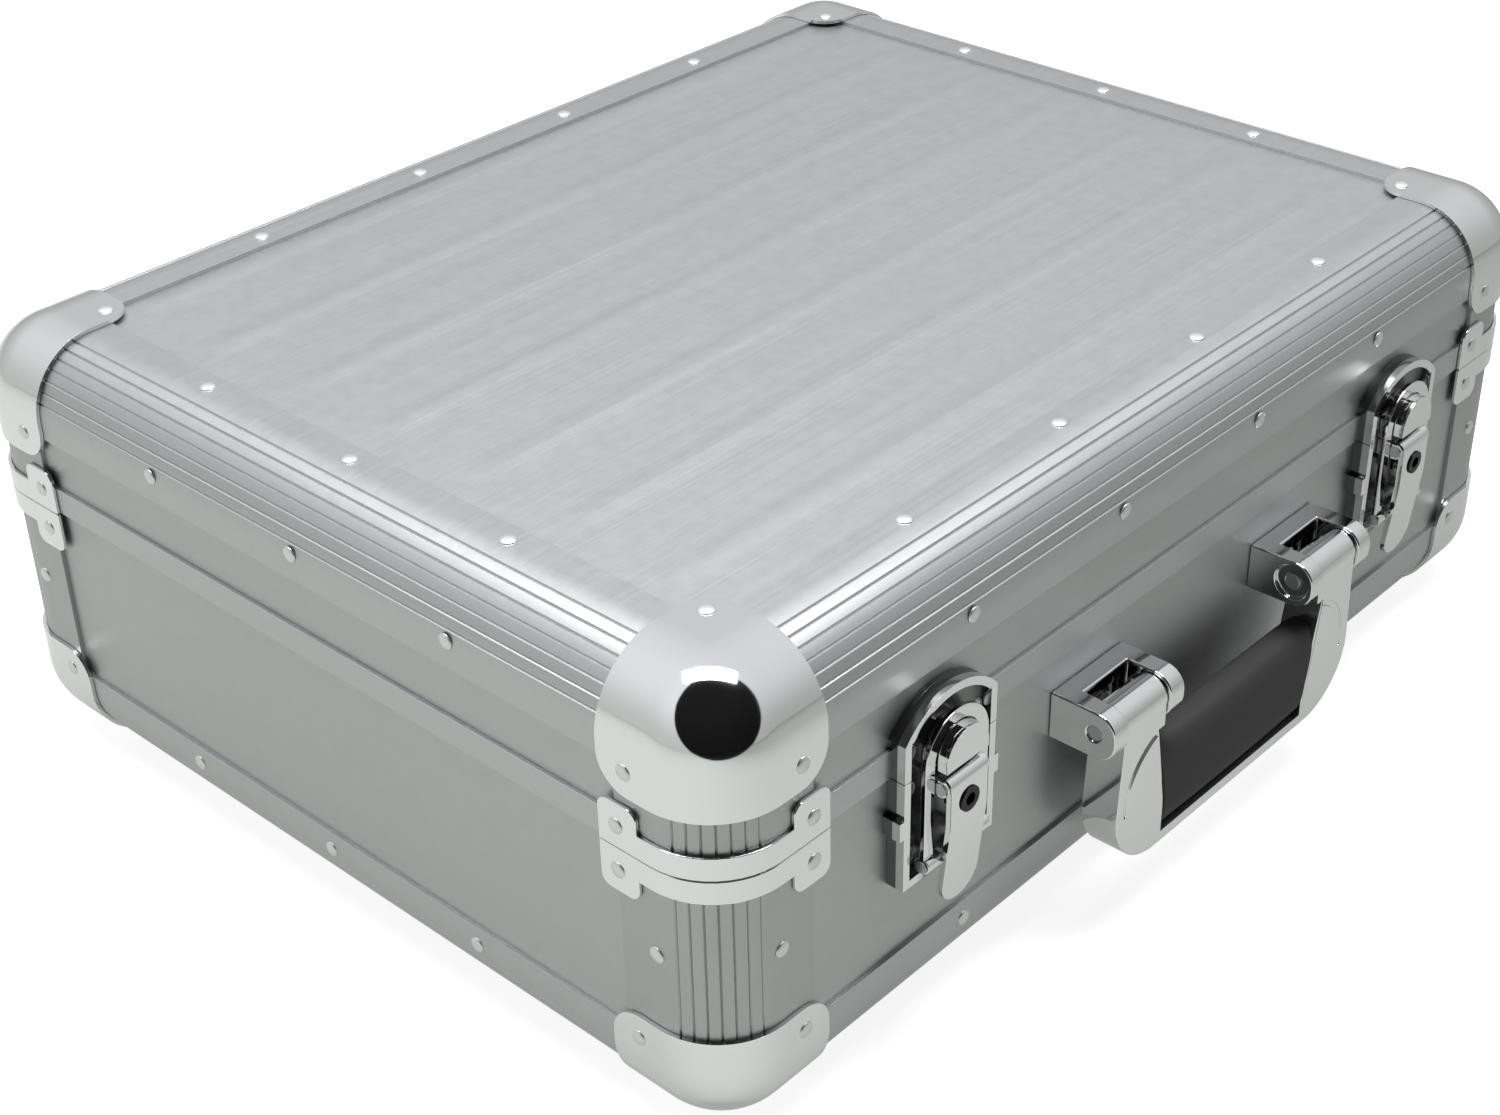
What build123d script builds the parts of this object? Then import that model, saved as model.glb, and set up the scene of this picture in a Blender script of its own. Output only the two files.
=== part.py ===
from build123d import *
from math import cos, floor, radians, sin
import os

# Metal case with hinged lid, two draw latches with bails, carrying handle and three disc rows.
# X runs along the case, the front with the latches faces -Y, Z is up, the feet stand on Z = 0.

# Case body, measured between the outer planes of the edge extrusions
CASE_LENGTH = 470.0
CASE_DEPTH = 373.0
CASE_HEIGHT = 168.5
LID_HEIGHT = 63.0
PARTING_GAP = 0.3
FOOT_HEIGHT = 4.0
FOOT_RADIUS = 10.0
FOOT_INSET = 62.0

# Wall build-up, given as depths below the extrusion plane
METAL = 1.5
SKIN_THICKNESS = 0.8
BOARD_THICKNESS = 6.7
LIP_CLEARANCE = 0.1
LINING_THICKNESS = 2.5
FLOOR_PAD_THICKNESS = 3.0
LID_PAD_THICKNESS = 9.0
FINE_CLEARANCE = 0.1

# Grooved edge extrusion
EDGE_RADIUS = 26.0
GROOVE_COUNT = 7
GROOVE_FIRST_DEG = 16.0
GROOVE_LAST_DEG = 74.0
GROOVE_SIZE = 0.7
EDGE_FLANGE = 35.0
SIDE_FLANGE = 32.8
POST_FLANGE = 41.0
LIP_REACH = 27.0
STOP_WALL = 19.0
RUN_START = 26.3
MITRE_GAP = 0.2
POST_START = 33.1

# Closing bars at the parting line
LID_BAR_HEIGHT = 10.6
BAR_WEB = 5.0
BAR_START = 41.3
GROOVE_INNER = 3.4
GROOVE_OUTER = 7.4
GROOVE_DEPTH = 3.6
TONGUE_INNER = 4.5
TONGUE_OUTER = 6.3
TONGUE_HEIGHT = 3.0

# Pressed ribs in the top skin
RIB_PITCH = 44.9
RIB_WIDTH = 13.0
RIB_HEIGHT = 0.5
RIB_SHIFT = 8.7
RIB_SIDE_GAP = 1.0
RIB_END_GAP = 5.5
RIB_FLANK = 5.0

# Ball corners and braces
CAP_OUTSIDE = 1.5
CAP_REACH = 46.0
CAP_DROP = 42.0
CAP_LOBE_RADIUS = 12.0
BRACE_STRIP = 8.5
BRACE_TAB_START = 31.0
BRACE_TAB_END = 47.0
BRACE_TAB_HEIGHT = 16.5
BRACE_TAB_RADIUS = 4.0

# Rivets: head size and the rows they stand in
RIVET_RADIUS = 3.0
RIVET_HEIGHT = 1.0
RIVET_TAPER_DEG = 40.0
TOP_ROW_INSET = 28.0
LONG_ROW = (-119.5, -40.0, 40.0, 119.5)
SHORT_ROW = (-75.0, 0.0, 75.0)
LID_ROW_DROP = 22.8
BASE_ROW_RISE = 25.0
CAP_RIVET_TOP = 38.0
CAP_RIVET_SIDE = 35.0
CAP_RIVET_DROP = 33.0
BRACE_RIVET_INSET = 39.5
BRACE_RIVET_RISE = 8.3
POST_RIVET_INSET = 26.5
LID_POST_RIVET_RISE = 19.5
BASE_POST_RIVET_DROP = 34.8

# Latches: centre, plate outline, then the linkage in the plane across the latch
LATCH_CENTRE = 136.0
PLATE_HALF = 22.5
PLATE_STEP = 2.0
PLATE_STEP_TOP = -14.0
PLATE_STEP_BOTTOM = -21.0
PLATE_BOTTOM = -42.0
PLATE_SHOULDER = 14.0
PLATE_APEX = 25.0
PLATE_FLOOR = 2.0
PLATE_RIM = 5.5
RIM_WIDTH = 3.0
CATCH_HALF = 10.3
CATCH_TOP = 13.0
CATCH_OUT = 12.0
LEVER_PIVOT_OUT = 9.5
LEVER_PIVOT_DROP = 6.5
LEVER_BARREL = 3.5
LEVER_HALF = 9.0
LEVER_SHEET = 2.0
LEVER_FOLD_DROP = 21.5
LEVER_TIP_DROP = 55.0
LEVER_TIP_OUT = 9.5
LEVER_PIN_RADIUS = 1.6
EAR_THICKNESS = 1.1
EAR_SIDE_GAP = 0.2
EAR_RADIUS = 3.0
PIN_HEAD = 0.35
PIN_HEAD_RADIUS = 2.3
BAIL_PIVOT_OUT = 7.0
BAIL_PIVOT_DROP = 35.0
BAIL_PIN_RADIUS = 1.4
BAIL_INNER = 11.0
BAIL_WIDTH = 4.5
BAIL_SHEET = 2.0
BAIL_CATCH_GAP = 0.3
BAIL_EYE_RADIUS = 3.0
BAIL_PIN_END = 0.5
LUG_THICKNESS = 1.6
RUNNING_CLEARANCE = 0.06
FIXED_CLEARANCE = 0.02
LOCK_DROP = 14.0
LOCK_RADIUS = 4.5
LOCK_BODY_RADIUS = 3.4
LOCK_PROUD = 0.6
COLLAR_BACK_OUT = 7.5
COLLAR_WALL = 1.4
KEYHOLE_RADIUS = 2.2
KEYHOLE_DEPTH = 5.0
LOCK_BACK_OUT = 5.4
CAM_THICKNESS = 1.2
CAM_REACH = 5.6
CAM_WIDTH = 3.0
KEEPER_FROM = 4.4
KEEPER_TO = 6.6
KEEPER_GAP = 0.5
KEEPER_LIP = 1.0
KEEPER_HEIGHT = 4.0
LATCH_RIVET_X = 16.3
LATCH_RIVET_RISE = 9.24

# Carrying handle, which stands a little to the right of the middle
HANDLE_SHIFT = 5.5
PEDESTAL_INNER = 40.0
PEDESTAL_OUTER = 80.0
PEDESTAL_TOP = -14.0
PEDESTAL_BOTTOM = -32.0
PEDESTAL_OUT = 25.0
PEDESTAL_RADIUS = 8.0
SLOT_BACK = 6.3
KNUCKLE_HALF = 11.8
KNUCKLE_RADIUS = 7.4
KNUCKLE_GAP = 0.4
HANDLE_PIVOT_OUT = 16.4
HANDLE_PIVOT_DROP = 22.5
HANDLE_PIN_RADIUS = 3.0
PIN_RECESS_RADIUS = 6.8
PIN_RECESS_DEPTH = 1.5
HANDLE_THICKNESS = 14.4
HANDLE_BOTTOM = -84.5
HANDLE_CORNER = 25.0
HANDLE_OUTER_HALF = 73.5
ARM_SHOULDER_HALF = 51.5
ARM_SHOULDER = -33.0
ARM_INNER_LOW = 45.0
ARM_LOW = -66.0
GRIP_TOP = -43.0
CROSSBAR = 4.0
GRIP_THICKNESS = 17.2
GRIP_RADIUS = 8.0
CRESCENT_RADIUS = 24.0
CRESCENT_X = 45.3
CRESCENT_Z = -56.4
CRESCENT_SHIFT = 1.6
CRESCENT_FROM = (52.0, -61.0)
CRESCENT_TO = (70.0, -33.0)
CRESCENT_DEPTH = 0.8

# Stop hinges on the rear
HINGE_CENTRE = 120.0
HINGE_HALF = 30.0
HINGE_OUT = 4.2
HINGE_KNUCKLE_RADIUS = 3.8
HINGE_PIN_RADIUS = 2.0
HINGE_KNUCKLES = 5
HINGE_KNUCKLE_GAP = 0.3
HINGE_LEAF = 1.5
HINGE_LEAF_START = 4.2
HINGE_LEAF_END = 24.0
HINGE_RIVET_RISE = 17.484
HINGE_RIVET_X = 21.0
TOOTH_RADIUS = 6.8
TOOTH_THICKNESS = 2.0
LID_TOOTH_DEG = 56.0
BASE_TOOTH_DEG = -69.0
TOOTH_OVERHANG = 4.0

# Row dividers and their runners
DIVIDER_THICKNESS = 6.0
DIVIDER_HEIGHT = 84.0
DIVIDER_SLOT_GAP = 0.2
RUNNER_WIDTH = 16.0
RUNNER_DEPTH = 6.0
RUNNER_BACK = 1.5
RUNNER_HEIGHT = 75.0
RUNNER_START = 18.3
DIVIDER_FOOT_SETBACK = 5.0

# Positions worked out from the sizes above
HANDLE_FRONT_OUT = max(PEDESTAL_OUT, HANDLE_PIVOT_OUT + GRIP_THICKNESS / 2)
TOOTH_SIDE = TOOTH_THICKNESS / 2 * sin(radians(LID_TOOTH_DEG))
REAR_OUT = HINGE_OUT + TOOTH_RADIUS * cos(radians(LID_TOOTH_DEG)) + TOOTH_SIDE
CASE_Y = (HANDLE_FRONT_OUT - REAR_OUT) / 2
HALF_X = CASE_LENGTH / 2
HALF_Y = CASE_DEPTH / 2
FRONT_Y = CASE_Y - HALF_Y
REAR_Y = CASE_Y + HALF_Y
BOTTOM_Z = FOOT_HEIGHT
TOP_Z = BOTTOM_Z + CASE_HEIGHT
PARTING_Z = TOP_Z - LID_HEIGHT
LID_LOW = PARTING_Z + PARTING_GAP / 2
BASE_HIGH = PARTING_Z - PARTING_GAP / 2
BOARD_DEPTH = METAL + SKIN_THICKNESS
BOARD_BACK = BOARD_DEPTH + BOARD_THICKNESS
LIP_DEPTH = BOARD_BACK + LIP_CLEARANCE
LIP_BACK = LIP_DEPTH + METAL
BOARD_START = STOP_WALL + METAL + 2 * FINE_CLEARANCE
SKIN_START = EDGE_RADIUS + 4 * FINE_CLEARANCE
LINING_DEPTH = LIP_BACK + FINE_CLEARANCE
LINING_BACK = LINING_DEPTH + LINING_THICKNESS
LINING_START = STOP_WALL + METAL + 2 * FINE_CLEARANCE
BACK_FILL = METAL - FINE_CLEARANCE / 2
SIDE_LENGTHS = (CASE_LENGTH, CASE_DEPTH, CASE_LENGTH, CASE_DEPTH)
SIDE_ROWS = (LONG_ROW, SHORT_ROW, LONG_ROW, SHORT_ROW)
KNUCKLE_CENTRE = (PEDESTAL_INNER + PEDESTAL_OUTER) / 2
ROW_WIDTH = (CASE_LENGTH - 2 * LINING_BACK - 2 * DIVIDER_THICKNESS) / 3
DIVIDER_X = ROW_WIDTH / 2 + DIVIDER_THICKNESS / 2


def block(x0, x1, y0, y1, z0, z1):
    """Box between two corners."""
    size = (x1 - x0, y1 - y0, z1 - z0)
    centre = ((x0 + x1) / 2, (y0 + y1) / 2, (z0 + z1) / 2)
    return Pos(*centre) * Box(*size)


def side_frames():
    """Frames of the front, right, rear and left side: X along the side, Y inward."""
    return (
        Location((0, FRONT_Y, 0), (0, 0, 0)),
        Location((HALF_X, CASE_Y, 0), (0, 0, 90)),
        Location((0, REAR_Y, 0), (0, 0, 180)),
        Location((-HALF_X, CASE_Y, 0), (0, 0, 270)),
    )


def corner_frames():
    """Frames of the four corners: X and Y both run inward along the sides."""
    return (
        Location((-HALF_X, FRONT_Y, 0), (0, 0, 0)),
        Location((HALF_X, FRONT_Y, 0), (0, 0, 90)),
        Location((HALF_X, REAR_Y, 0), (0, 0, 180)),
        Location((-HALF_X, REAR_Y, 0), (0, 0, 270)),
    )


def save(name, solids):
    """Write one node, a single solid or a group of separate solids."""
    group = []
    for item in solids if isinstance(solids, (list, tuple)) else [solids]:
        group.extend(item.solids())
    shape = group[0] if len(group) == 1 else Compound(children=group)
    shape.label = name
    export_step(shape, os.path.join("parts", name + ".step"))


def band(radius, metal, reach_x, reach_y):
    """Rounded angle section with its outer corner at the origin."""
    cosine = cos(radians(45))
    outer = radius - radius * cosine
    inner = radius - (radius - metal) * cosine
    lines = [
        Line((reach_x, 0), (radius, 0)),
        ThreePointArc((radius, 0), (outer, outer), (0, radius)),
        Line((0, radius), (0, reach_y)),
        Line((0, reach_y), (metal, reach_y)),
        Line((metal, reach_y), (metal, radius)),
        ThreePointArc((metal, radius), (inner, inner), (radius, metal)),
        Line((radius, metal), (reach_x, metal)),
        Line((reach_x, metal), (reach_x, 0)),
    ]
    return make_face(Wire(lines))


def section(reach_x, reach_y):
    """Extrusion section: grooved round edge, stop walls, diagonal web and clamping lips."""
    face = band(EDGE_RADIUS, METAL, reach_x, reach_y)
    wall_top = METAL - FINE_CLEARANCE
    near = STOP_WALL
    far = STOP_WALL + METAL
    parts = (
        Polygon((near, wall_top), (far, wall_top), (far, LIP_BACK), (near, LIP_DEPTH), align=None),
        Polygon((wall_top, near), (LIP_DEPTH, near), (LIP_BACK, far), (wall_top, far), align=None),
        Polygon((near, LIP_DEPTH), (LIP_REACH, LIP_DEPTH), (LIP_REACH, LIP_BACK), (far, LIP_BACK), align=None),
        Polygon((LIP_DEPTH, near), (LIP_BACK, far), (LIP_BACK, LIP_REACH), (LIP_DEPTH, LIP_REACH), align=None),
        Polygon((near, LIP_DEPTH), (far, LIP_BACK), (LIP_BACK, far), (LIP_DEPTH, near), align=None),
    )
    for part in parts:
        face += part
    step = (GROOVE_LAST_DEG - GROOVE_FIRST_DEG) / (GROOVE_COUNT - 1)
    for index in range(GROOVE_COUNT):
        angle = GROOVE_FIRST_DEG + index * step
        u = EDGE_RADIUS - EDGE_RADIUS * cos(radians(angle))
        v = EDGE_RADIUS - EDGE_RADIUS * sin(radians(angle))
        face -= Pos(u, v) * Rot(0, 0, angle + 45) * Rectangle(GROOVE_SIZE, GROOVE_SIZE)
    return face


def edge_runs(top):
    """Four horizontal edge extrusions, mitred at the corners."""
    profile = Plane.YZ * section(EDGE_FLANGE, SIDE_FLANGE)
    runs = []
    for length, frame in zip(SIDE_LENGTHS, side_frames()):
        half = length / 2
        run = Pos(-half + RUN_START, 0, 0) * extrude(profile, length - 2 * RUN_START, dir=(1, 0, 0))
        reach = EDGE_FLANGE + METAL
        end = half - MITRE_GAP / 2
        wedge = Polygon((-end, 0), (end, 0), (end - reach, reach), (-end + reach, reach), align=None)
        run = run & extrude(wedge, reach)
        if top:
            run = Pos(0, 0, TOP_Z) * mirror(run, Plane.XY)
        else:
            run = Pos(0, 0, BOTTOM_Z) * run
        runs.append(frame * run)
    return runs


def corner_posts(low, high):
    """Four vertical corner extrusions."""
    post = Pos(0, 0, low) * extrude(section(POST_FLANGE, POST_FLANGE), high - low)
    return [frame * post for frame in corner_frames()]


def panels(low, high, depth, thickness, start):
    """Four upright sheets or boards in the sides."""
    pieces = []
    for length, frame in zip(SIDE_LENGTHS, side_frames()):
        half = length / 2 - start
        pieces.append(frame * block(-half, half, depth, depth + thickness, low, high))
    return pieces


def flat_panel(start, z0, z1):
    """Horizontal sheet, board or pad across the whole case."""
    return block(-HALF_X + start, HALF_X - start, FRONT_Y + start, REAR_Y - start, z0, z1)


def top_skin():
    """Top sheet with pressed ribs running along the case."""
    skin = flat_panel(SKIN_START, TOP_Z - BOARD_DEPTH, TOP_Z - METAL)
    low = -SKIN_THICKNESS / 2
    flat = RIB_WIDTH / 2 - RIB_FLANK
    outline = Polygon(
        (-RIB_WIDTH / 2, low), (RIB_WIDTH / 2, low), (RIB_WIDTH / 2, 0), (flat, RIB_HEIGHT),
        (-flat, RIB_HEIGHT), (-RIB_WIDTH / 2, 0), align=None
    )
    reach_x = HALF_X - EDGE_FLANGE - RIB_END_GAP
    reach_y = HALF_Y - EDGE_FLANGE - RIB_SIDE_GAP - RIB_WIDTH / 2
    rib = extrude(Plane.YZ * outline, 2 * reach_x, dir=(1, 0, 0))
    first = -floor((reach_y + RIB_SHIFT) / RIB_PITCH)
    last = floor((reach_y - RIB_SHIFT) / RIB_PITCH)
    for index in range(first, last + 1):
        y = CASE_Y + RIB_SHIFT + index * RIB_PITCH
        skin += Pos(-reach_x, y, TOP_Z - METAL) * rib
    return skin


def lid_bars():
    """Lid closing bars with the groove for the base tongue."""
    pieces = []
    for length, frame in zip(SIDE_LENGTHS, side_frames()):
        half = length / 2 - BAR_START
        bar = block(-half, half, 0, METAL, LID_LOW, PARTING_Z + LID_BAR_HEIGHT)
        bar += block(-half, half, 0, LIP_BACK, LID_LOW, LID_LOW + BAR_WEB)
        bar += block(-half, half, LIP_DEPTH, LIP_BACK, LID_LOW, PARTING_Z + LID_BAR_HEIGHT)
        bar -= block(-half, half, GROOVE_INNER, GROOVE_OUTER, LID_LOW, LID_LOW + GROOVE_DEPTH)
        pieces.append(frame * bar)
    return pieces


def base_bars():
    """Base closing bars with the tongue that centres the lid."""
    pieces = []
    for length, frame in zip(SIDE_LENGTHS, side_frames()):
        half = length / 2 - BAR_START
        inner = BOARD_DEPTH + FINE_CLEARANCE
        bar = block(-half, half, inner, LIP_BACK, BASE_HIGH - BAR_WEB, BASE_HIGH)
        bar += block(-half, half, LIP_DEPTH, LIP_BACK, BASE_HIGH - LID_BAR_HEIGHT, BASE_HIGH)
        bar += block(-half, half, TONGUE_INNER, TONGUE_OUTER, BASE_HIGH - METAL, BASE_HIGH + TONGUE_HEIGHT)
        pieces.append(frame * bar)
    return pieces


def ball_cap():
    """Pressed ball corner for the corner at the origin, reaching inward and downward."""
    size = CAP_REACH + CAP_LOBE_RADIUS
    outer = block(-CAP_OUTSIDE, size, -CAP_OUTSIDE, size, -size, CAP_OUTSIDE)
    inner = block(-FINE_CLEARANCE, size + 1, -FINE_CLEARANCE, size + 1, -size - 1, FINE_CLEARANCE)
    shells = []
    for box, offset in ((outer, CAP_OUTSIDE), (inner, FINE_CLEARANCE)):
        edges = [
            e for e in box.edges()
            if abs((e @ 0.5).X + offset) + abs((e @ 0.5).Y + offset) < 0.01
            or abs((e @ 0.5).X + offset) + abs((e @ 0.5).Z - offset) < 0.01
            or abs((e @ 0.5).Y + offset) + abs((e @ 0.5).Z - offset) < 0.01
        ]
        shells.append(fillet(edges, EDGE_RADIUS + offset))
    margin = 2 * CAP_OUTSIDE
    cutter = block(-margin, CAP_REACH, -margin, CAP_REACH, -CAP_DROP, margin)
    far = [
        e for e in cutter.edges()
        if abs((e @ 0.5).X - CAP_REACH) + abs((e @ 0.5).Y - CAP_REACH) < 0.01
        or abs((e @ 0.5).X - CAP_REACH) + abs((e @ 0.5).Z + CAP_DROP) < 0.01
        or abs((e @ 0.5).Y - CAP_REACH) + abs((e @ 0.5).Z + CAP_DROP) < 0.01
    ]
    cutter = fillet(far, CAP_LOBE_RADIUS)
    return (shells[0] & cutter) - shells[1]


def ball_caps(top):
    """Four ball corners of the lid or of the base."""
    cap = ball_cap()
    if top:
        placed = Pos(0, 0, TOP_Z) * cap
    else:
        placed = Pos(0, 0, BOTTOM_Z) * mirror(cap, Plane.XY)
    return [frame * placed for frame in corner_frames()]


def brace(up):
    """Corner brace: a low strip round the corner with a tab on each side."""
    shift = CAP_OUTSIDE
    metal = CAP_OUTSIDE - FINE_CLEARANCE
    middle = (BRACE_TAB_START + BRACE_TAB_END) / 2
    profile = Pos(-shift, -shift) * band(EDGE_RADIUS + shift, metal, middle + shift, middle + shift)
    piece = extrude(profile, BRACE_STRIP)
    width = BRACE_TAB_END - BRACE_TAB_START
    tab = extrude(RectangleRounded(width, 2 * BRACE_TAB_HEIGHT, BRACE_TAB_RADIUS), metal)
    tab = tab & block(-width, width, 0, 2 * BRACE_TAB_HEIGHT, 0, metal)
    first = Pos(middle, -FINE_CLEARANCE, 0) * Rot(90, 0, 0) * tab
    second = mirror(first, Plane(origin=(0, 0, 0), z_dir=(1, -1, 0)))
    piece = piece + first + second
    if not up:
        piece = mirror(piece, Plane.XY)
    return piece


def braces(up):
    """Four corner braces on the lid or on the base."""
    height = LID_LOW if up else BASE_HIGH
    piece = Pos(0, 0, height) * brace(up)
    return [frame * piece for frame in corner_frames()]


def rivet_head():
    """One low rivet head standing on the plane Z = 0."""
    return extrude(RegularPolygon(RIVET_RADIUS, 8), RIVET_HEIGHT, taper=RIVET_TAPER_DEG)


def side_rivet(x, out, z):
    """Rivet head on a side frame, pointing outward."""
    return Pos(x, -out, z) * Rot(90, 0, 0) * rivet_head()


def rivets(top):
    """All rivet heads of the lid or of the base."""
    sign = 1 if top else -1
    face_z = TOP_Z if top else BOTTOM_Z
    row_z = TOP_Z - LID_ROW_DROP if top else BOTTOM_Z + BASE_ROW_RISE
    cap_z = face_z - sign * CAP_RIVET_DROP
    brace_z = PARTING_Z + sign * BRACE_RIVET_RISE
    post_z = PARTING_Z + LID_POST_RIVET_RISE if top else PARTING_Z - BASE_POST_RIVET_DROP
    flip = 0 if top else 180
    heads = []
    for length, row, frame in zip(SIDE_LENGTHS, SIDE_ROWS, side_frames()):
        for x in row:
            heads.append(frame * Pos(x, TOP_ROW_INSET, face_z) * Rot(flip, 0, 0) * rivet_head())
            heads.append(frame * side_rivet(x, 0, row_z))
        for end in (-1, 1):
            x = end * (length / 2 - CAP_RIVET_SIDE)
            heads.append(frame * side_rivet(x, CAP_OUTSIDE, cap_z))
            x = end * (length / 2 - BRACE_RIVET_INSET)
            heads.append(frame * side_rivet(x, CAP_OUTSIDE, brace_z))
            x = end * (length / 2 - POST_RIVET_INSET)
            if not top:
                heads.append(frame * side_rivet(x, 0, post_z))
    cap_top = face_z + sign * CAP_OUTSIDE
    for frame in corner_frames():
        heads.append(frame * Pos(CAP_RIVET_TOP, CAP_RIVET_TOP, cap_top) * Rot(flip, 0, 0) * rivet_head())
    return heads


def feet():
    """Four rubber feet under the bottom skin."""
    pieces = []
    for frame in corner_frames():
        foot = Pos(FOOT_INSET, FOOT_INSET, 0) * Cylinder(
            FOOT_RADIUS, BOTTOM_Z + METAL, align=(Align.CENTER, Align.CENTER, Align.MIN)
        )
        pieces.append(frame * foot)
    return pieces


def latch_place(centre):
    """Frame of a latch: X along the case, Y inward from the front plane, Z up from the parting."""
    return Location((centre, FRONT_Y, PARTING_Z))


def outline_solid(face, out0, out1):
    """Front-view outline made solid between two distances outward of the front plane."""
    solid = extrude(face, out1 - out0, dir=(0, 0, 1))
    return Pos(0, -out0, 0) * Rot(90, 0, 0) * solid


def lid_plate():
    """Arched latch plate of the lid with its rim and the catch that the bail hooks over."""
    low = PARTING_GAP / 2
    lines = [
        Line((-PLATE_HALF, low), (PLATE_HALF, low)),
        Line((PLATE_HALF, low), (PLATE_HALF, PLATE_SHOULDER)),
        ThreePointArc((PLATE_HALF, PLATE_SHOULDER), (0, PLATE_APEX), (-PLATE_HALF, PLATE_SHOULDER)),
        Line((-PLATE_HALF, PLATE_SHOULDER), (-PLATE_HALF, low)),
    ]
    face = make_face(Wire(lines))
    inner = offset(face, amount=-RIM_WIDTH, kind=Kind.INTERSECTION)
    half = PLATE_HALF - RIM_WIDTH
    inner += Pos(0, PLATE_SHOULDER / 2) * Rectangle(2 * half, PLATE_SHOULDER)
    plate = outline_solid(face, 0, PLATE_FLOOR)
    plate += outline_solid(face - inner, PLATE_FLOOR, PLATE_RIM)
    above = face & (Pos(0, LID_BAR_HEIGHT + PLATE_APEX / 2) * Rectangle(4 * PLATE_HALF, PLATE_APEX))
    plate += outline_solid(Pos(0, FINE_CLEARANCE) * above, -BACK_FILL, FINE_CLEARANCE)
    centre = CATCH_TOP - CATCH_HALF
    catch = Pos(0, centre) * Circle(CATCH_HALF)
    catch += Pos(0, (centre + low) / 2) * Rectangle(2 * CATCH_HALF, centre - low)
    below = Pos(0, low - PLATE_APEX / 2) * Rectangle(4 * CATCH_HALF, PLATE_APEX)
    plate += outline_solid(catch - below, PLATE_FLOOR / 2, CATCH_OUT)
    return plate


def base_plate():
    """Latch plate of the base with its rim, lever ears and the keeper for the lock cam."""
    high = -PARTING_GAP / 2
    wide = PLATE_HALF + PLATE_STEP
    points = (
        (-PLATE_HALF, high), (PLATE_HALF, high), (PLATE_HALF, PLATE_STEP_TOP), (wide, PLATE_STEP_TOP),
        (wide, PLATE_STEP_BOTTOM), (PLATE_HALF, PLATE_STEP_BOTTOM), (PLATE_HALF, PLATE_BOTTOM),
        (-PLATE_HALF, PLATE_BOTTOM), (-PLATE_HALF, PLATE_STEP_BOTTOM), (-wide, PLATE_STEP_BOTTOM),
        (-wide, PLATE_STEP_TOP), (-PLATE_HALF, PLATE_STEP_TOP),
    )
    face = Polygon(*points, align=None)
    half = PLATE_HALF - RIM_WIDTH
    low = PLATE_BOTTOM + RIM_WIDTH
    inner = Pos(0, (high + low) / 2) * Rectangle(2 * half, high - low)
    plate = outline_solid(face, -BACK_FILL, PLATE_FLOOR)
    plate += outline_solid(face - inner, PLATE_FLOOR, PLATE_RIM)
    inner_x = LEVER_HALF + EAR_SIDE_GAP
    outer_x = inner_x + EAR_THICKNESS
    for side in (-1, 1):
        x0, x1 = sorted((side * inner_x, side * outer_x))
        ear = block(x0, x1, -LEVER_PIVOT_OUT, -PLATE_FLOOR / 2, -LEVER_PIVOT_DROP - EAR_RADIUS,
                    -LEVER_PIVOT_DROP + EAR_RADIUS)
        tip = Pos((x0 + x1) / 2, -LEVER_PIVOT_OUT, -LEVER_PIVOT_DROP) * Rot(0, 90, 0) * Cylinder(
            EAR_RADIUS, EAR_THICKNESS)
        plate += ear + tip
    hole = Pos(0, -LEVER_PIVOT_OUT, -LEVER_PIVOT_DROP) * Rot(0, 90, 0) * Cylinder(
        LEVER_PIN_RADIUS + FIXED_CLEARANCE, 4 * LEVER_HALF)
    plate -= hole
    lip_out = LOCK_BACK_OUT + KEEPER_GAP
    z0 = -LOCK_DROP - KEEPER_HEIGHT / 2
    z1 = -LOCK_DROP + KEEPER_HEIGHT / 2
    post_x = CAM_REACH + KEEPER_GAP
    plate += block(post_x, KEEPER_TO, -lip_out - KEEPER_LIP, -PLATE_FLOOR / 2, z0, z1)
    plate += block(KEEPER_FROM, KEEPER_TO, -lip_out - KEEPER_LIP, -lip_out, z0, z1)
    return plate


def lever_pin():
    """Pin through the ears of the base plate, with a low head at each end."""
    ear_out = LEVER_HALF + EAR_SIDE_GAP + EAR_THICKNESS
    pin = Rot(0, 90, 0) * Cylinder(LEVER_PIN_RADIUS, 2 * ear_out)
    for side in (-1, 1):
        head = Pos(side * (ear_out + PIN_HEAD / 2), 0, 0) * Rot(0, 90, 0) * Cylinder(PIN_HEAD_RADIUS, PIN_HEAD)
        pin += head
    return Pos(0, -LEVER_PIVOT_OUT, -LEVER_PIVOT_DROP) * pin


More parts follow.
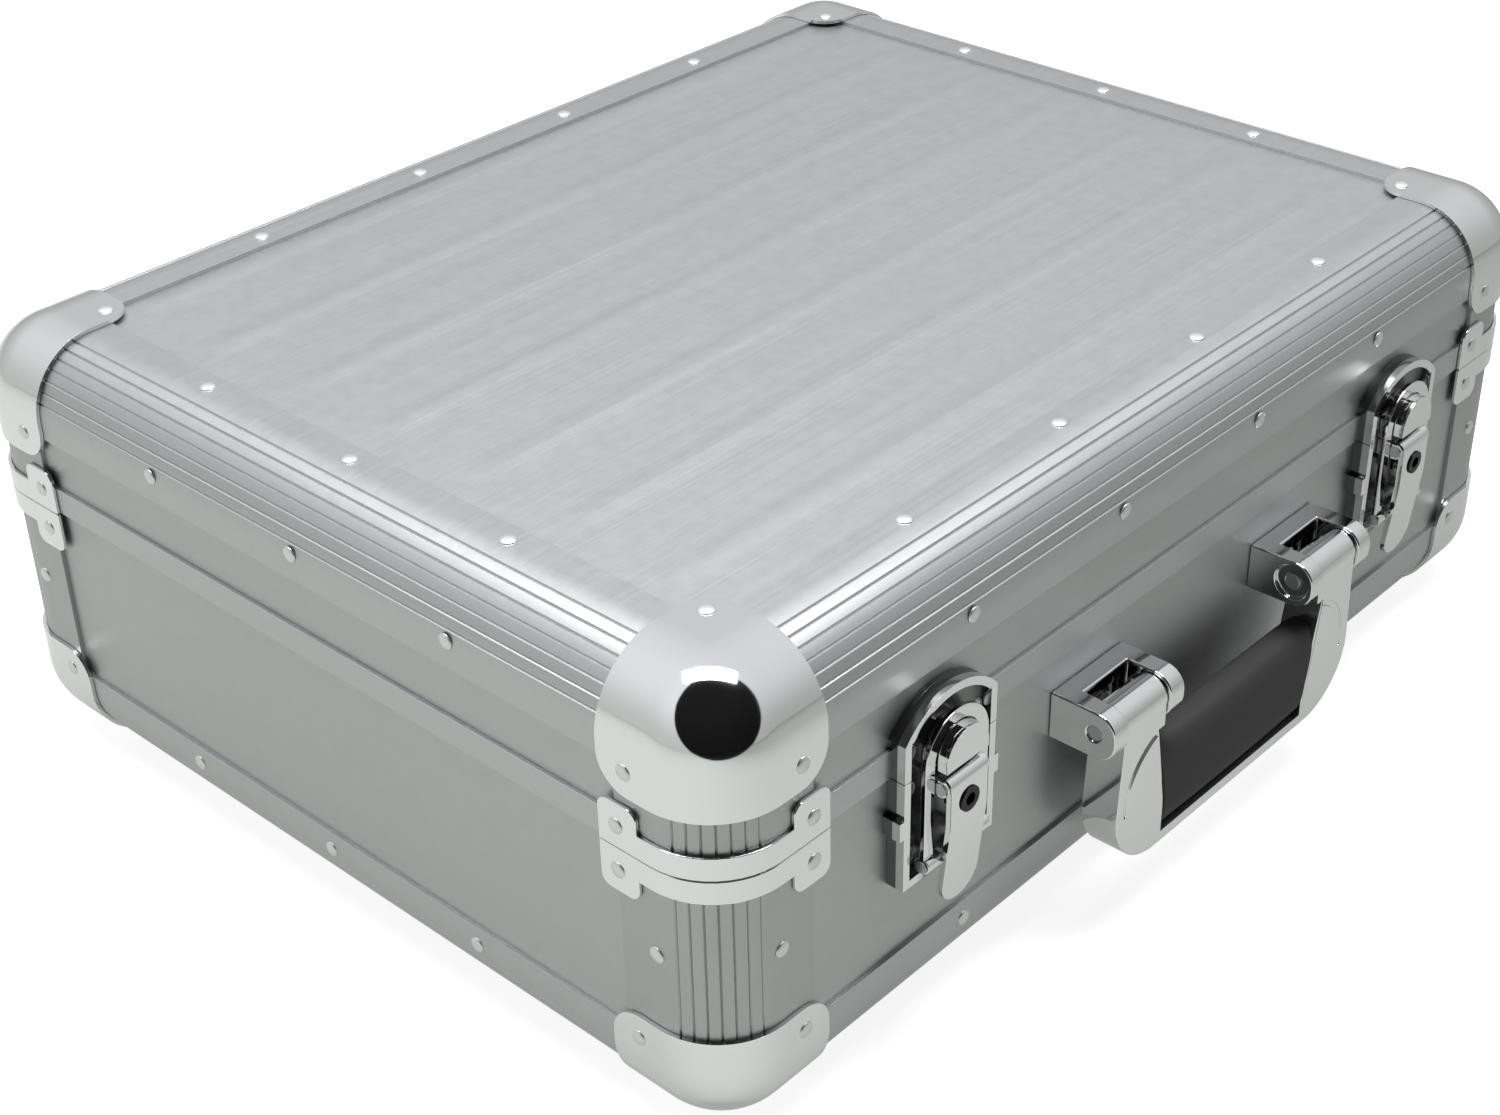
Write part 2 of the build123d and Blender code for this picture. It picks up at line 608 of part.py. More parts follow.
def lever():
    """Folded latch lever with its barrel, the lugs for the bail pin and the lock bore."""
    front = LEVER_PIVOT_OUT + LEVER_BARREL
    back = front - LEVER_SHEET
    slope = (front - LEVER_TIP_OUT) / (LEVER_TIP_DROP - LEVER_FOLD_DROP)
    points = (
        (-front, -LEVER_PIVOT_DROP), (-front, -LEVER_FOLD_DROP), (-LEVER_TIP_OUT, -LEVER_TIP_DROP),
        (-LEVER_TIP_OUT + LEVER_SHEET, -LEVER_TIP_DROP), (-back, -LEVER_FOLD_DROP), (-back, -LEVER_PIVOT_DROP),
    )
    side = Plane.YZ * Polygon(*points, align=None)
    body = Pos(-LEVER_HALF, 0, 0) * extrude(side, 2 * LEVER_HALF, dir=(1, 0, 0))
    tip = Pos(0, 0, -LEVER_TIP_DROP + LEVER_HALF) * Rot(90, 0, 0) * Cylinder(LEVER_HALF, 4 * front)
    low_cut = block(-2 * LEVER_HALF, 2 * LEVER_HALF, -2 * front, front, -LEVER_TIP_DROP - LEVER_HALF,
                    -LEVER_TIP_DROP + LEVER_HALF)
    body -= low_cut - tip
    barrel = Pos(0, -LEVER_PIVOT_OUT, -LEVER_PIVOT_DROP) * Rot(0, 90, 0) * Cylinder(
        LEVER_BARREL, 2 * LEVER_HALF)
    body += barrel
    face_out = front - slope * (BAIL_PIVOT_DROP - LEVER_FOLD_DROP)
    lug_x = LEVER_HALF - LUG_THICKNESS / 2
    for sign in (-1, 1):
        lug = Pos(sign * lug_x, -BAIL_PIVOT_OUT, -BAIL_PIVOT_DROP) * Rot(0, 90, 0) * Cylinder(
            BAIL_EYE_RADIUS, LUG_THICKNESS)
        x0 = sign * lug_x - LUG_THICKNESS / 2
        neck = block(x0, x0 + LUG_THICKNESS, -face_out + LEVER_SHEET / 2, -BAIL_PIVOT_OUT,
                     -BAIL_PIVOT_DROP - BAIL_EYE_RADIUS, -BAIL_PIVOT_DROP + BAIL_EYE_RADIUS)
        body += lug + neck
    collar_length = back - COLLAR_BACK_OUT + LEVER_SHEET / 2
    body += Pos(0, -COLLAR_BACK_OUT - collar_length / 2, -LOCK_DROP) * Rot(90, 0, 0) * Cylinder(
        LOCK_BODY_RADIUS + COLLAR_WALL, collar_length)
    body -= Pos(0, -LEVER_PIVOT_OUT, -LEVER_PIVOT_DROP) * Rot(0, 90, 0) * Cylinder(
        LEVER_PIN_RADIUS + RUNNING_CLEARANCE, 4 * LEVER_HALF)
    body -= Pos(0, -BAIL_PIVOT_OUT, -BAIL_PIVOT_DROP) * Rot(0, 90, 0) * Cylinder(
        BAIL_PIN_RADIUS + FIXED_CLEARANCE, 4 * LEVER_HALF)
    bore = LOCK_BODY_RADIUS + RUNNING_CLEARANCE
    body -= Pos(0, -front, -LOCK_DROP) * Rot(90, 0, 0) * Cylinder(bore, 4 * front)
    return body


def bail_pin():
    """Pin through the lever lugs that carries the two legs of the bail."""
    half = BAIL_INNER + BAIL_WIDTH + BAIL_PIN_END
    pin = Rot(0, 90, 0) * Cylinder(BAIL_PIN_RADIUS, 2 * half)
    for side in (-1, 1):
        pin += Pos(side * (half + PIN_HEAD / 2 - BAIL_PIN_END / 2), 0, 0) * Rot(0, 90, 0) * Cylinder(
            PIN_HEAD_RADIUS, PIN_HEAD)
    return Pos(0, -BAIL_PIVOT_OUT, -BAIL_PIVOT_DROP) * pin


def bail():
    """Arched strip with two legs that end in eyes round the bail pin."""
    outer = BAIL_INNER + BAIL_WIDTH
    inner_centre = CATCH_TOP + BAIL_CATCH_GAP - BAIL_INNER
    low = -BAIL_PIVOT_DROP
    face = Pos(0, inner_centre) * Circle(outer)
    face += Pos(0, (inner_centre + low) / 2) * Rectangle(2 * outer, inner_centre - low)
    face -= Pos(0, inner_centre) * Circle(BAIL_INNER)
    face -= Pos(0, (inner_centre + low) / 2) * Rectangle(2 * BAIL_INNER, inner_centre - low)
    face -= Pos(0, low - outer) * Rectangle(4 * outer, 2 * outer)
    middle = BAIL_PIVOT_OUT
    ring = outline_solid(face, middle - BAIL_SHEET / 2, middle + BAIL_SHEET / 2)
    for side in (-1, 1):
        x = side * (BAIL_INNER + BAIL_WIDTH / 2)
        ring += Pos(x, -BAIL_PIVOT_OUT, low) * Rot(0, 90, 0) * Cylinder(BAIL_EYE_RADIUS, BAIL_WIDTH)
    ring -= Pos(0, -BAIL_PIVOT_OUT, low) * Rot(0, 90, 0) * Cylinder(
        BAIL_PIN_RADIUS + RUNNING_CLEARANCE, 4 * outer)
    return ring


def lock_plug():
    """Lock plug with a round keyhole in front and a cam behind, pointing down when unlocked."""
    front = LEVER_PIVOT_OUT + LEVER_BARREL
    length = front - LOCK_BACK_OUT
    plug = Pos(0, -LOCK_BACK_OUT - length / 2, -LOCK_DROP) * Rot(90, 0, 0) * Cylinder(LOCK_BODY_RADIUS, length)
    plug += Pos(0, -front - LOCK_PROUD / 2 - FINE_CLEARANCE / 2, -LOCK_DROP) * Rot(90, 0, 0) * Cylinder(
        LOCK_RADIUS, LOCK_PROUD - FINE_CLEARANCE)
    plug += Pos(0, -front, -LOCK_DROP) * Rot(90, 0, 0) * Cylinder(LOCK_BODY_RADIUS, 2 * FINE_CLEARANCE)
    plug -= Pos(0, -front - LOCK_PROUD, -LOCK_DROP) * Rot(90, 0, 0) * Cylinder(
        KEYHOLE_RADIUS, 2 * KEYHOLE_DEPTH)
    cam_back = LOCK_BACK_OUT - CAM_THICKNESS
    plug += block(-CAM_WIDTH / 2, CAM_WIDTH / 2, -LOCK_BACK_OUT, -cam_back, -LOCK_DROP - CAM_REACH,
                  -LOCK_DROP + CAM_WIDTH / 2)
    return plug


def latch_rivets(lid):
    """Rivet heads inside the recess of a latch plate."""
    rows = (PLATE_SHOULDER / 2,) if lid else (PLATE_STEP_TOP / 2, PLATE_BOTTOM + LATCH_RIVET_RISE)
    return [side_rivet(side * LATCH_RIVET_X, PLATE_FLOOR, z) for z in rows for side in (-1, 1)]


def pedestal(side):
    """Handle pedestal: a block with a slot for the knuckle, a pin bore and round recesses."""
    points_back = (PEDESTAL_TOP + PEDESTAL_BOTTOM) / 2
    height = PEDESTAL_TOP - PEDESTAL_BOTTOM
    depth = PEDESTAL_OUT + BACK_FILL
    body = Box(PEDESTAL_OUTER - PEDESTAL_INNER, depth, height)
    edges = body.edges().filter_by(Axis.X).group_by(Axis.Y)[0]
    body = fillet(edges, PEDESTAL_RADIUS)
    body = Pos(KNUCKLE_CENTRE, -PEDESTAL_OUT + depth / 2, points_back) * body
    slot = KNUCKLE_HALF + KNUCKLE_GAP
    body -= block(KNUCKLE_CENTRE - slot, KNUCKLE_CENTRE + slot, -2 * PEDESTAL_OUT, -SLOT_BACK,
                  2 * PEDESTAL_BOTTOM, 0)
    axis = Pos(KNUCKLE_CENTRE, -HANDLE_PIVOT_OUT, -HANDLE_PIVOT_DROP) * Rot(0, 90, 0)
    body -= axis * Cylinder(HANDLE_PIN_RADIUS + FIXED_CLEARANCE, 2 * PEDESTAL_OUTER)
    body -= Pos(PEDESTAL_INNER, -HANDLE_PIVOT_OUT, -HANDLE_PIVOT_DROP) * Rot(0, 90, 0) * Cylinder(
        PIN_RECESS_RADIUS, 2 * PIN_RECESS_DEPTH)
    return body if side > 0 else mirror(body, Plane.YZ)


def handle_pin(side):
    """Pin that carries one knuckle of the handle."""
    pin = Rot(0, 90, 0) * Cylinder(HANDLE_PIN_RADIUS, PEDESTAL_OUTER - PEDESTAL_INNER - METAL)
    return Pos(side * KNUCKLE_CENTRE, -HANDLE_PIVOT_OUT, -HANDLE_PIVOT_DROP) * pin


def handle_frame():
    """U-shaped handle casting: two arms with knuckles and a thin bar under the grip."""
    knuckle_in = KNUCKLE_CENTRE - KNUCKLE_HALF
    knuckle_out = KNUCKLE_CENTRE + KNUCKLE_HALF
    pivot = -HANDLE_PIVOT_DROP
    corner = HANDLE_CORNER * (1 - cos(radians(45)))
    arc_top = HANDLE_BOTTOM + HANDLE_CORNER
    right = [
        Line((0, HANDLE_BOTTOM), (HANDLE_OUTER_HALF - HANDLE_CORNER, HANDLE_BOTTOM)),
        ThreePointArc((HANDLE_OUTER_HALF - HANDLE_CORNER, HANDLE_BOTTOM),
                      (HANDLE_OUTER_HALF - corner, HANDLE_BOTTOM + corner), (HANDLE_OUTER_HALF, arc_top)),
        Line((HANDLE_OUTER_HALF, arc_top), (knuckle_out, PEDESTAL_BOTTOM)),
        Line((knuckle_out, PEDESTAL_BOTTOM), (knuckle_out, pivot)),
        Line((knuckle_out, pivot), (knuckle_in, pivot)),
        Line((knuckle_in, pivot), (knuckle_in, ARM_SHOULDER)),
        Line((knuckle_in, ARM_SHOULDER), (ARM_SHOULDER_HALF, ARM_SHOULDER)),
        Line((ARM_SHOULDER_HALF, ARM_SHOULDER), (ARM_INNER_LOW, ARM_LOW)),
        Line((ARM_INNER_LOW, ARM_LOW), (ARM_INNER_LOW, HANDLE_BOTTOM + CROSSBAR)),
        Line((ARM_INNER_LOW, HANDLE_BOTTOM + CROSSBAR), (0, HANDLE_BOTTOM + CROSSBAR)),
        Line((0, HANDLE_BOTTOM + CROSSBAR), (0, HANDLE_BOTTOM)),
    ]
    face = make_face(Wire(right))
    half = HANDLE_THICKNESS / 2
    solid = outline_solid(face, HANDLE_PIVOT_OUT - half, HANDLE_PIVOT_OUT + half)
    crescent = Pos(CRESCENT_X, CRESCENT_Z) * (
        Circle(CRESCENT_RADIUS) - Pos(-CRESCENT_SHIFT, -CRESCENT_SHIFT) * Circle(CRESCENT_RADIUS))
    (x0, z0), (x1, z1) = CRESCENT_FROM, CRESCENT_TO
    crescent = crescent & Polygon((x0, z0), (x1, z0), (x1, z1), (x0, z1), align=None)
    front = HANDLE_PIVOT_OUT + half
    solid -= outline_solid(crescent, front - CRESCENT_DEPTH, front + CRESCENT_DEPTH)
    knuckle = Pos(KNUCKLE_CENTRE, -HANDLE_PIVOT_OUT, pivot) * Rot(0, 90, 0) * Cylinder(
        KNUCKLE_RADIUS, 2 * KNUCKLE_HALF)
    solid += knuckle
    solid -= Pos(KNUCKLE_CENTRE, -HANDLE_PIVOT_OUT, pivot) * Rot(0, 90, 0) * Cylinder(
        HANDLE_PIN_RADIUS + RUNNING_CLEARANCE, 4 * KNUCKLE_HALF)
    return solid + mirror(solid, Plane.YZ)


def handle_grip():
    """Soft grip nested between the arms on the thin bar."""
    low = HANDLE_BOTTOM + CROSSBAR
    height = GRIP_TOP - low
    grip = Box(2 * ARM_SHOULDER_HALF, GRIP_THICKNESS, height)
    grip = fillet(grip.edges().filter_by(Axis.X), GRIP_RADIUS)
    lean = (ARM_SHOULDER_HALF - ARM_INNER_LOW) / (ARM_SHOULDER - ARM_LOW)
    top_half = ARM_SHOULDER_HALF - lean * (ARM_SHOULDER - GRIP_TOP)
    outline = Polygon(
        (-ARM_INNER_LOW, low), (ARM_INNER_LOW, low), (ARM_INNER_LOW, ARM_LOW), (top_half, GRIP_TOP),
        (-top_half, GRIP_TOP), (-ARM_INNER_LOW, ARM_LOW), align=None
    )
    half = GRIP_THICKNESS / 2
    ends = outline_solid(outline, HANDLE_PIVOT_OUT - half, HANDLE_PIVOT_OUT + half)
    return (Pos(0, -HANDLE_PIVOT_OUT, low + height / 2) * grip) & ends


def hinge_place(centre):
    """Frame of a hinge: X along the case, Y outward from the rear plane, Z up from the parting."""
    return Location((centre, REAR_Y, PARTING_Z))


def hinge_leaf(lid):
    """Hinge leaf with its knuckles and stop teeth on the shared axis."""
    sign = 1 if lid else -1
    z0, z1 = sorted((sign * HINGE_LEAF_START, sign * HINGE_LEAF_END))
    leaf = block(-HINGE_HALF, HINGE_HALF, 0, HINGE_LEAF, z0, z1)
    fill = sorted((sign * (LID_BAR_HEIGHT + FINE_CLEARANCE if lid else HINGE_LEAF_START), sign * HINGE_LEAF_END))
    leaf += block(-HINGE_HALF, HINGE_HALF, -BACK_FILL, HINGE_LEAF, fill[0], fill[1])
    pitch = 2 * HINGE_HALF / HINGE_KNUCKLES
    angle = LID_TOOTH_DEG if lid else BASE_TOOTH_DEG
    for index in range(HINGE_KNUCKLES):
        if (index % 2 == 1) != lid:
            continue
        x = -HINGE_HALF + (index + 0.5) * pitch
        width = pitch - HINGE_KNUCKLE_GAP
        leaf += Pos(x, HINGE_OUT, 0) * Rot(0, 90, 0) * Cylinder(HINGE_KNUCKLE_RADIUS, width)
        z_near, z_far = sorted((0, sign * (HINGE_LEAF_START + METAL)))
        leaf += block(x - width / 2, x + width / 2, 0, 2 * HINGE_LEAF, z_near, z_far)
        overhang = 0 if lid or index != 2 else TOOTH_OVERHANG
        tooth = block(-width / 2, width / 2, HINGE_PIN_RADIUS + METAL / 2, TOOTH_RADIUS,
                      -TOOTH_THICKNESS / 2, TOOTH_THICKNESS / 2)
        if overhang:
            reach = width / 2 + overhang
            tooth += block(-reach, reach, HINGE_KNUCKLE_RADIUS + 3 * FINE_CLEARANCE, TOOTH_RADIUS,
                           -TOOTH_THICKNESS / 2, TOOTH_THICKNESS / 2)
        if lid or overhang:
            leaf += Pos(x, HINGE_OUT, 0) * Rot(angle, 0, 0) * tooth
    clearance = RUNNING_CLEARANCE if lid else FIXED_CLEARANCE
    leaf -= Pos(0, HINGE_OUT, 0) * Rot(0, 90, 0) * Cylinder(HINGE_PIN_RADIUS + clearance, 4 * HINGE_HALF)
    return leaf


def hinge_pin():
    """Plain hinge pin, fixed in the base leaf."""
    return Pos(0, HINGE_OUT, 0) * Rot(0, 90, 0) * Cylinder(HINGE_PIN_RADIUS, 2 * HINGE_HALF)


def hinge_rivets(lid):
    """Three rivet heads on each hinge leaf."""
    sign = 1 if lid else -1
    z = sign * HINGE_RIVET_RISE
    heads = []
    for x in (-HINGE_RIVET_X, 0, HINGE_RIVET_X):
        heads.append(Pos(x, HINGE_LEAF, z) * Rot(-90, 0, 0) * rivet_head())
    return heads


def runners():
    """Four upright channels on the linings that hold the ends of the row dividers."""
    low = BOTTOM_Z + RUNNER_START
    channel = block(-RUNNER_WIDTH / 2, RUNNER_WIDTH / 2, 0, RUNNER_DEPTH, low, low + RUNNER_HEIGHT)
    half = DIVIDER_THICKNESS / 2 + DIVIDER_SLOT_GAP
    channel -= block(-half, half, RUNNER_BACK, 2 * RUNNER_DEPTH, 0, TOP_Z)
    front = Pos(0, FRONT_Y + LINING_BACK, 0) * channel
    rear = Pos(0, REAR_Y - LINING_BACK, 0) * Rot(0, 0, 180) * channel
    return [Pos(side * DIVIDER_X, 0, 0) * piece for side in (-1, 1) for piece in (front, rear)]


def dividers():
    """Two front-to-rear row dividers, stepped at the foot to clear the extrusion web."""
    low = BOTTOM_Z + LINING_DEPTH + FLOOR_PAD_THICKNESS + FINE_CLEARANCE
    end = LINING_BACK + RUNNER_BACK + DIVIDER_SLOT_GAP
    half = DIVIDER_THICKNESS / 2
    plate = block(-half, half, FRONT_Y + end, REAR_Y - end, BOTTOM_Z + RUNNER_START, low + DIVIDER_HEIGHT)
    foot_end = end + DIVIDER_FOOT_SETBACK
    plate += block(-half, half, FRONT_Y + foot_end, REAR_Y - foot_end, low, BOTTOM_Z + RUNNER_START)
    return [Pos(side * DIVIDER_X, 0, 0) * plate for side in (-1, 1)]


def build_base():
    """Write every node of the base."""
    skin_top = BASE_HIGH
    board_top = BASE_HIGH - BAR_WEB - FINE_CLEARANCE
    save("base_edge_extrusions", edge_runs(False))
    save("base_corner_extrusions", corner_posts(BOTTOM_Z + POST_START, BASE_HIGH))
    save("base_side_skins", panels(BOTTOM_Z + SKIN_START, skin_top, METAL, SKIN_THICKNESS, SKIN_START))
    save("base_side_boards", panels(BOTTOM_Z + BOARD_START, board_top, BOARD_DEPTH, BOARD_THICKNESS, BOARD_START))
    save("base_bottom_skin", flat_panel(SKIN_START, BOTTOM_Z + METAL, BOTTOM_Z + BOARD_DEPTH))
    save("base_bottom_board", flat_panel(BOARD_START, BOTTOM_Z + BOARD_DEPTH, BOTTOM_Z + BOARD_BACK))
    save("base_closing_bars", base_bars())
    save("base_ball_corners", ball_caps(False))
    save("base_corner_braces", braces(False))
    save("base_rivets", rivets(False))
    save("feet", feet())
    lining_top = BASE_HIGH - FINE_CLEARANCE
    linings = panels(BOTTOM_Z + LINING_START, lining_top, LINING_DEPTH, LINING_THICKNESS, LINING_START)
    save("base_wall_linings", linings)
    pad_low = BOTTOM_Z + LINING_DEPTH
    save("base_floor_pad", flat_panel(LINING_START, pad_low, pad_low + FLOOR_PAD_THICKNESS))
    save("divider_runners", runners())
    save("row_dividers", dividers())


def build_lid():
    """Write every node of the lid."""
    save("lid_edge_extrusions", edge_runs(True))
    save("lid_corner_extrusions", corner_posts(LID_LOW, TOP_Z - POST_START))
    skin_low = PARTING_Z + BAR_WEB + PARTING_GAP
    save("lid_side_skins", panels(skin_low, TOP_Z - SKIN_START, METAL, SKIN_THICKNESS, SKIN_START))
    save("lid_side_boards", panels(skin_low, TOP_Z - BOARD_START, BOARD_DEPTH, BOARD_THICKNESS, BOARD_START))
    save("lid_top_skin", top_skin())
    save("lid_top_board", flat_panel(BOARD_START, TOP_Z - BOARD_BACK, TOP_Z - BOARD_DEPTH))
    save("lid_closing_bars", lid_bars())
    save("lid_ball_corners", ball_caps(True))
    save("lid_corner_braces", braces(True))
    save("lid_rivets", rivets(True))
    linings = panels(LID_LOW + FINE_CLEARANCE, TOP_Z - LINING_START, LINING_DEPTH, LINING_THICKNESS, LINING_START)
    save("lid_wall_linings", linings)
    pad_high = TOP_Z - LINING_DEPTH
    save("lid_foam_pad", flat_panel(LINING_START, pad_high - LID_PAD_THICKNESS, pad_high))


def build_latches():
    """Write the latch plates and pins, and each moving piece of the two latches."""
    places = {"left": latch_place(-LATCH_CENTRE), "right": latch_place(LATCH_CENTRE)}
    save("lid_latch_plates", [place * lid_plate() for place in places.values()])
    save("base_latch_plates", [place * base_plate() for place in places.values()])
    save("latch_lever_pins", [place * lever_pin() for place in places.values()])
    save("lid_latch_rivets", [place * head for place in places.values() for head in latch_rivets(True)])
    save("base_latch_rivets", [place * head for place in places.values() for head in latch_rivets(False)])
    for side, place in places.items():
        save("latch_lever_" + side, place * lever())
        save("bail_pin_" + side, place * bail_pin())
        save("latch_bail_" + side, place * bail())
        save("lock_plug_" + side, place * lock_plug())


def build_handle():
    """Write the pedestals, their pins and the swinging handle."""
    place = latch_place(HANDLE_SHIFT)
    save("handle_pedestals", [place * pedestal(side) for side in (-1, 1)])
    save("handle_pins", [place * handle_pin(side) for side in (-1, 1)])
    save("handle_frame", place * handle_frame())
    save("handle_grip", place * handle_grip())


def build_hinges():
    """Write the two stop hinges."""
    places = [hinge_place(side * HINGE_CENTRE) for side in (-1, 1)]
    save("hinge_lid_leaves", [place * hinge_leaf(True) for place in places])
    save("hinge_base_leaves", [place * hinge_leaf(False) for place in places])
    save("hinge_pins", [place * hinge_pin() for place in places])
    save("hinge_lid_rivets", [place * head for place in places for head in hinge_rivets(True)])
    save("hinge_base_rivets", [place * head for place in places for head in hinge_rivets(False)])


os.makedirs("parts", exist_ok=True)
build_base()
build_lid()
build_latches()
build_handle()
build_hinges()
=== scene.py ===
import logging
import math
from dataclasses import dataclass, field
from enum import Enum

import bmesh
import bpy
from mathutils import Matrix, Vector


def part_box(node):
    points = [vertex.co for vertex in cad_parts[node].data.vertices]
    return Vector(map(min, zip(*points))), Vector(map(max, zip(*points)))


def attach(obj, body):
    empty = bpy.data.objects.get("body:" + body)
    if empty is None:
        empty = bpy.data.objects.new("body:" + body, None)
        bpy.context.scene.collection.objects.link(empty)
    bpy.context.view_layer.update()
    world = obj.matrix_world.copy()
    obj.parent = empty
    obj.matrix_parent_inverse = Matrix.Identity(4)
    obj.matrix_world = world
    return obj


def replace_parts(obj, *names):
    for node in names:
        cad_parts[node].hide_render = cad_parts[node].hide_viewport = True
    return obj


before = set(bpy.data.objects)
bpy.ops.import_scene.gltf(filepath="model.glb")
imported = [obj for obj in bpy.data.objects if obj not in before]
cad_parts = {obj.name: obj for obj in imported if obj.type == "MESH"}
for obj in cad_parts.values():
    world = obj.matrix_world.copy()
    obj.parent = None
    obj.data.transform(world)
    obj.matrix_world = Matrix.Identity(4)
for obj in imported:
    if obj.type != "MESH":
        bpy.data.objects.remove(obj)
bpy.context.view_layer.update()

# Metres in a millimetre, and the gap in metres under which points are joined
MM = 0.001
WELD = 1e-6
Triple = tuple[float, float, float]
LOG = logging.getLogger("disc_case")


# Shader maths


class Sock:
    """One output of a shader node that takes part in arithmetic."""

    def __init__(self, graph: "Graph", socket: bpy.types.NodeSocket | None) -> None:
        """Wrap a socket.

        Args:
            graph: Graph that the socket belongs to.
            socket: Output socket to wrap, or None for a node that has none.
        """
        self.graph = graph
        self.socket = socket

    def _maths(self, operation: str, first: "Sock | float", second: "Sock | float") -> "Sock":
        """Add one maths node.

        Args:
            operation: Name of the maths operation.
            first: First value.
            second: Second value.

        Returns:
            The result of the operation.
        """
        return self.graph.node("ShaderNodeMath", {0: first, 1: second}, operation=operation)

    def __add__(self, other: "Sock | float") -> "Sock":
        """This value plus another."""
        return self._maths("ADD", self, other)

    def __radd__(self, other: float) -> "Sock":
        """A number plus this value."""
        return self._maths("ADD", other, self)

    def __sub__(self, other: "Sock | float") -> "Sock":
        """This value minus another."""
        return self._maths("SUBTRACT", self, other)

    def __rsub__(self, other: float) -> "Sock":
        """A number minus this value."""
        return self._maths("SUBTRACT", other, self)

    def __mul__(self, other: "Sock | float") -> "Sock":
        """This value times another."""
        return self._maths("MULTIPLY", self, other)

    def __rmul__(self, other: float) -> "Sock":
        """A number times this value."""
        return self._maths("MULTIPLY", other, self)

    def smooth(self, low: float, high: float) -> "Sock":
        """Ease this value from 0 at one end to 1 at the other.

        Args:
            low: Value that gives 0.
            high: Value that gives 1.

        Returns:
            The eased value.
        """
        ranged = {"Value": self, "From Min": low, "From Max": high}
        return self.graph.node("ShaderNodeMapRange", ranged, interpolation_type="SMOOTHSTEP")


class Graph:
    """Node tree of one material or world."""

    def __init__(self, tree: bpy.types.NodeTree) -> None:
        """Start an empty graph.

        Args:
            tree: Node tree to clear and fill.
        """
        tree.nodes.clear()
        self.tree = tree

    def node(
        self, kind: str, inputs: dict | None = None, out: int | str = 0, **settings: object
    ) -> Sock:
        """Add any node, set its inputs and settings, and give one of its outputs.

        Args:
            kind: Blender's identifier of the node.
            inputs: Input names or numbers with their values or Socks.
            out: Name or number of the output to give back.
            **settings: Properties of the node itself.

        Returns:
            The chosen output, or an empty Sock for a node without outputs.
        """
        made = self.tree.nodes.new(kind)
        for key, value in settings.items():
            setattr(made, key, value)
        for key, value in (inputs or {}).items():
            if isinstance(value, Sock):
                self.tree.links.new(value.socket, made.inputs[key])
            else:
                made.inputs[key].default_value = value
        return Sock(self, made.outputs[out] if len(made.outputs) else None)

    def maths(self, operation: str, inputs: dict, out: int | str = 0) -> Sock:
        """Add one vector maths node.

        Args:
            operation: Name of the operation.
            inputs: Its vectors.
            out: Name or number of the output to give back.

        Returns:
            The chosen output.
        """
        return self.node("ShaderNodeVectorMath", inputs, out, operation=operation)

    def place(self, scale: Triple = (1.0, 1.0, 1.0)) -> Sock:
        """Object coordinates stretched by a scale.

        Args:
            scale: Factors along X, Y and Z.

        Returns:
            The stretched coordinates.
        """
        coords = self.node("ShaderNodeTexCoord", out="Object")
        return self.node("ShaderNodeMapping", {"Vector": coords, "Scale": scale})

    def noise(self, scale: Triple, detail: float) -> Sock:
        """Noise over the object.

        Args:
            scale: Cells per metre along X, Y and Z.
            detail: Number of finer layers.

        Returns:
            A value round 0.5.
        """
        inputs = {"Vector": self.place(scale), "Scale": 1.0, "Detail": detail}
        return self.node("ShaderNodeTexNoise", inputs, out="Fac")

    def mix(self, factor: Sock | float, first: Sock | tuple, second: Sock | tuple) -> Sock:
        """Blend two colours.

        Args:
            factor: Share of the second colour.
            first: First colour, with alpha.
            second: Second colour, with alpha.

        Returns:
            The blended colour.
        """
        inputs = {0: factor, 6: first, 7: second}
        return self.node("ShaderNodeMix", inputs, out=2, data_type="RGBA")

    def bump(self, height: Sock, distance: float) -> Sock:
        """Turn a height into a bent normal.

        Args:
            height: Height value.
            distance: Height in metres of a value of 1.

        Returns:
            The bent normal.
        """
        return self.node("ShaderNodeBump", {"Height": height, "Distance": distance}, out="Normal")


# Finishes


def rgba(color: Triple, factor: float = 1.0) -> tuple[float, float, float, float]:
    """Scale a colour and add full opacity.

    Args:
        color: Linear red, green and blue.
        factor: Factor for all three.

    Returns:
        The scaled colour with alpha 1.
    """
    return (*(channel * factor for channel in color), 1.0)


@dataclass(frozen=True)
class Finish:
    """Plain base of every finish: a colour, a roughness and a name."""

    name: str
    color: Triple
    roughness: float

    def graph(self) -> tuple[bpy.types.Material, Graph]:
        """Start the material of this finish.

        Returns:
            The material and its empty graph.
        """
        material = bpy.data.materials.new(self.name)
        material.use_nodes = True
        return material, Graph(material.node_tree)

    def close(self, graph: Graph, inputs: dict) -> None:
        """Add the surface shader and the output.

        Args:
            graph: Graph of the material.
            inputs: Inputs of the surface shader.
        """
        shader = graph.node("ShaderNodeBsdfPrincipled", inputs)
        graph.node("ShaderNodeOutputMaterial", {"Surface": shader})


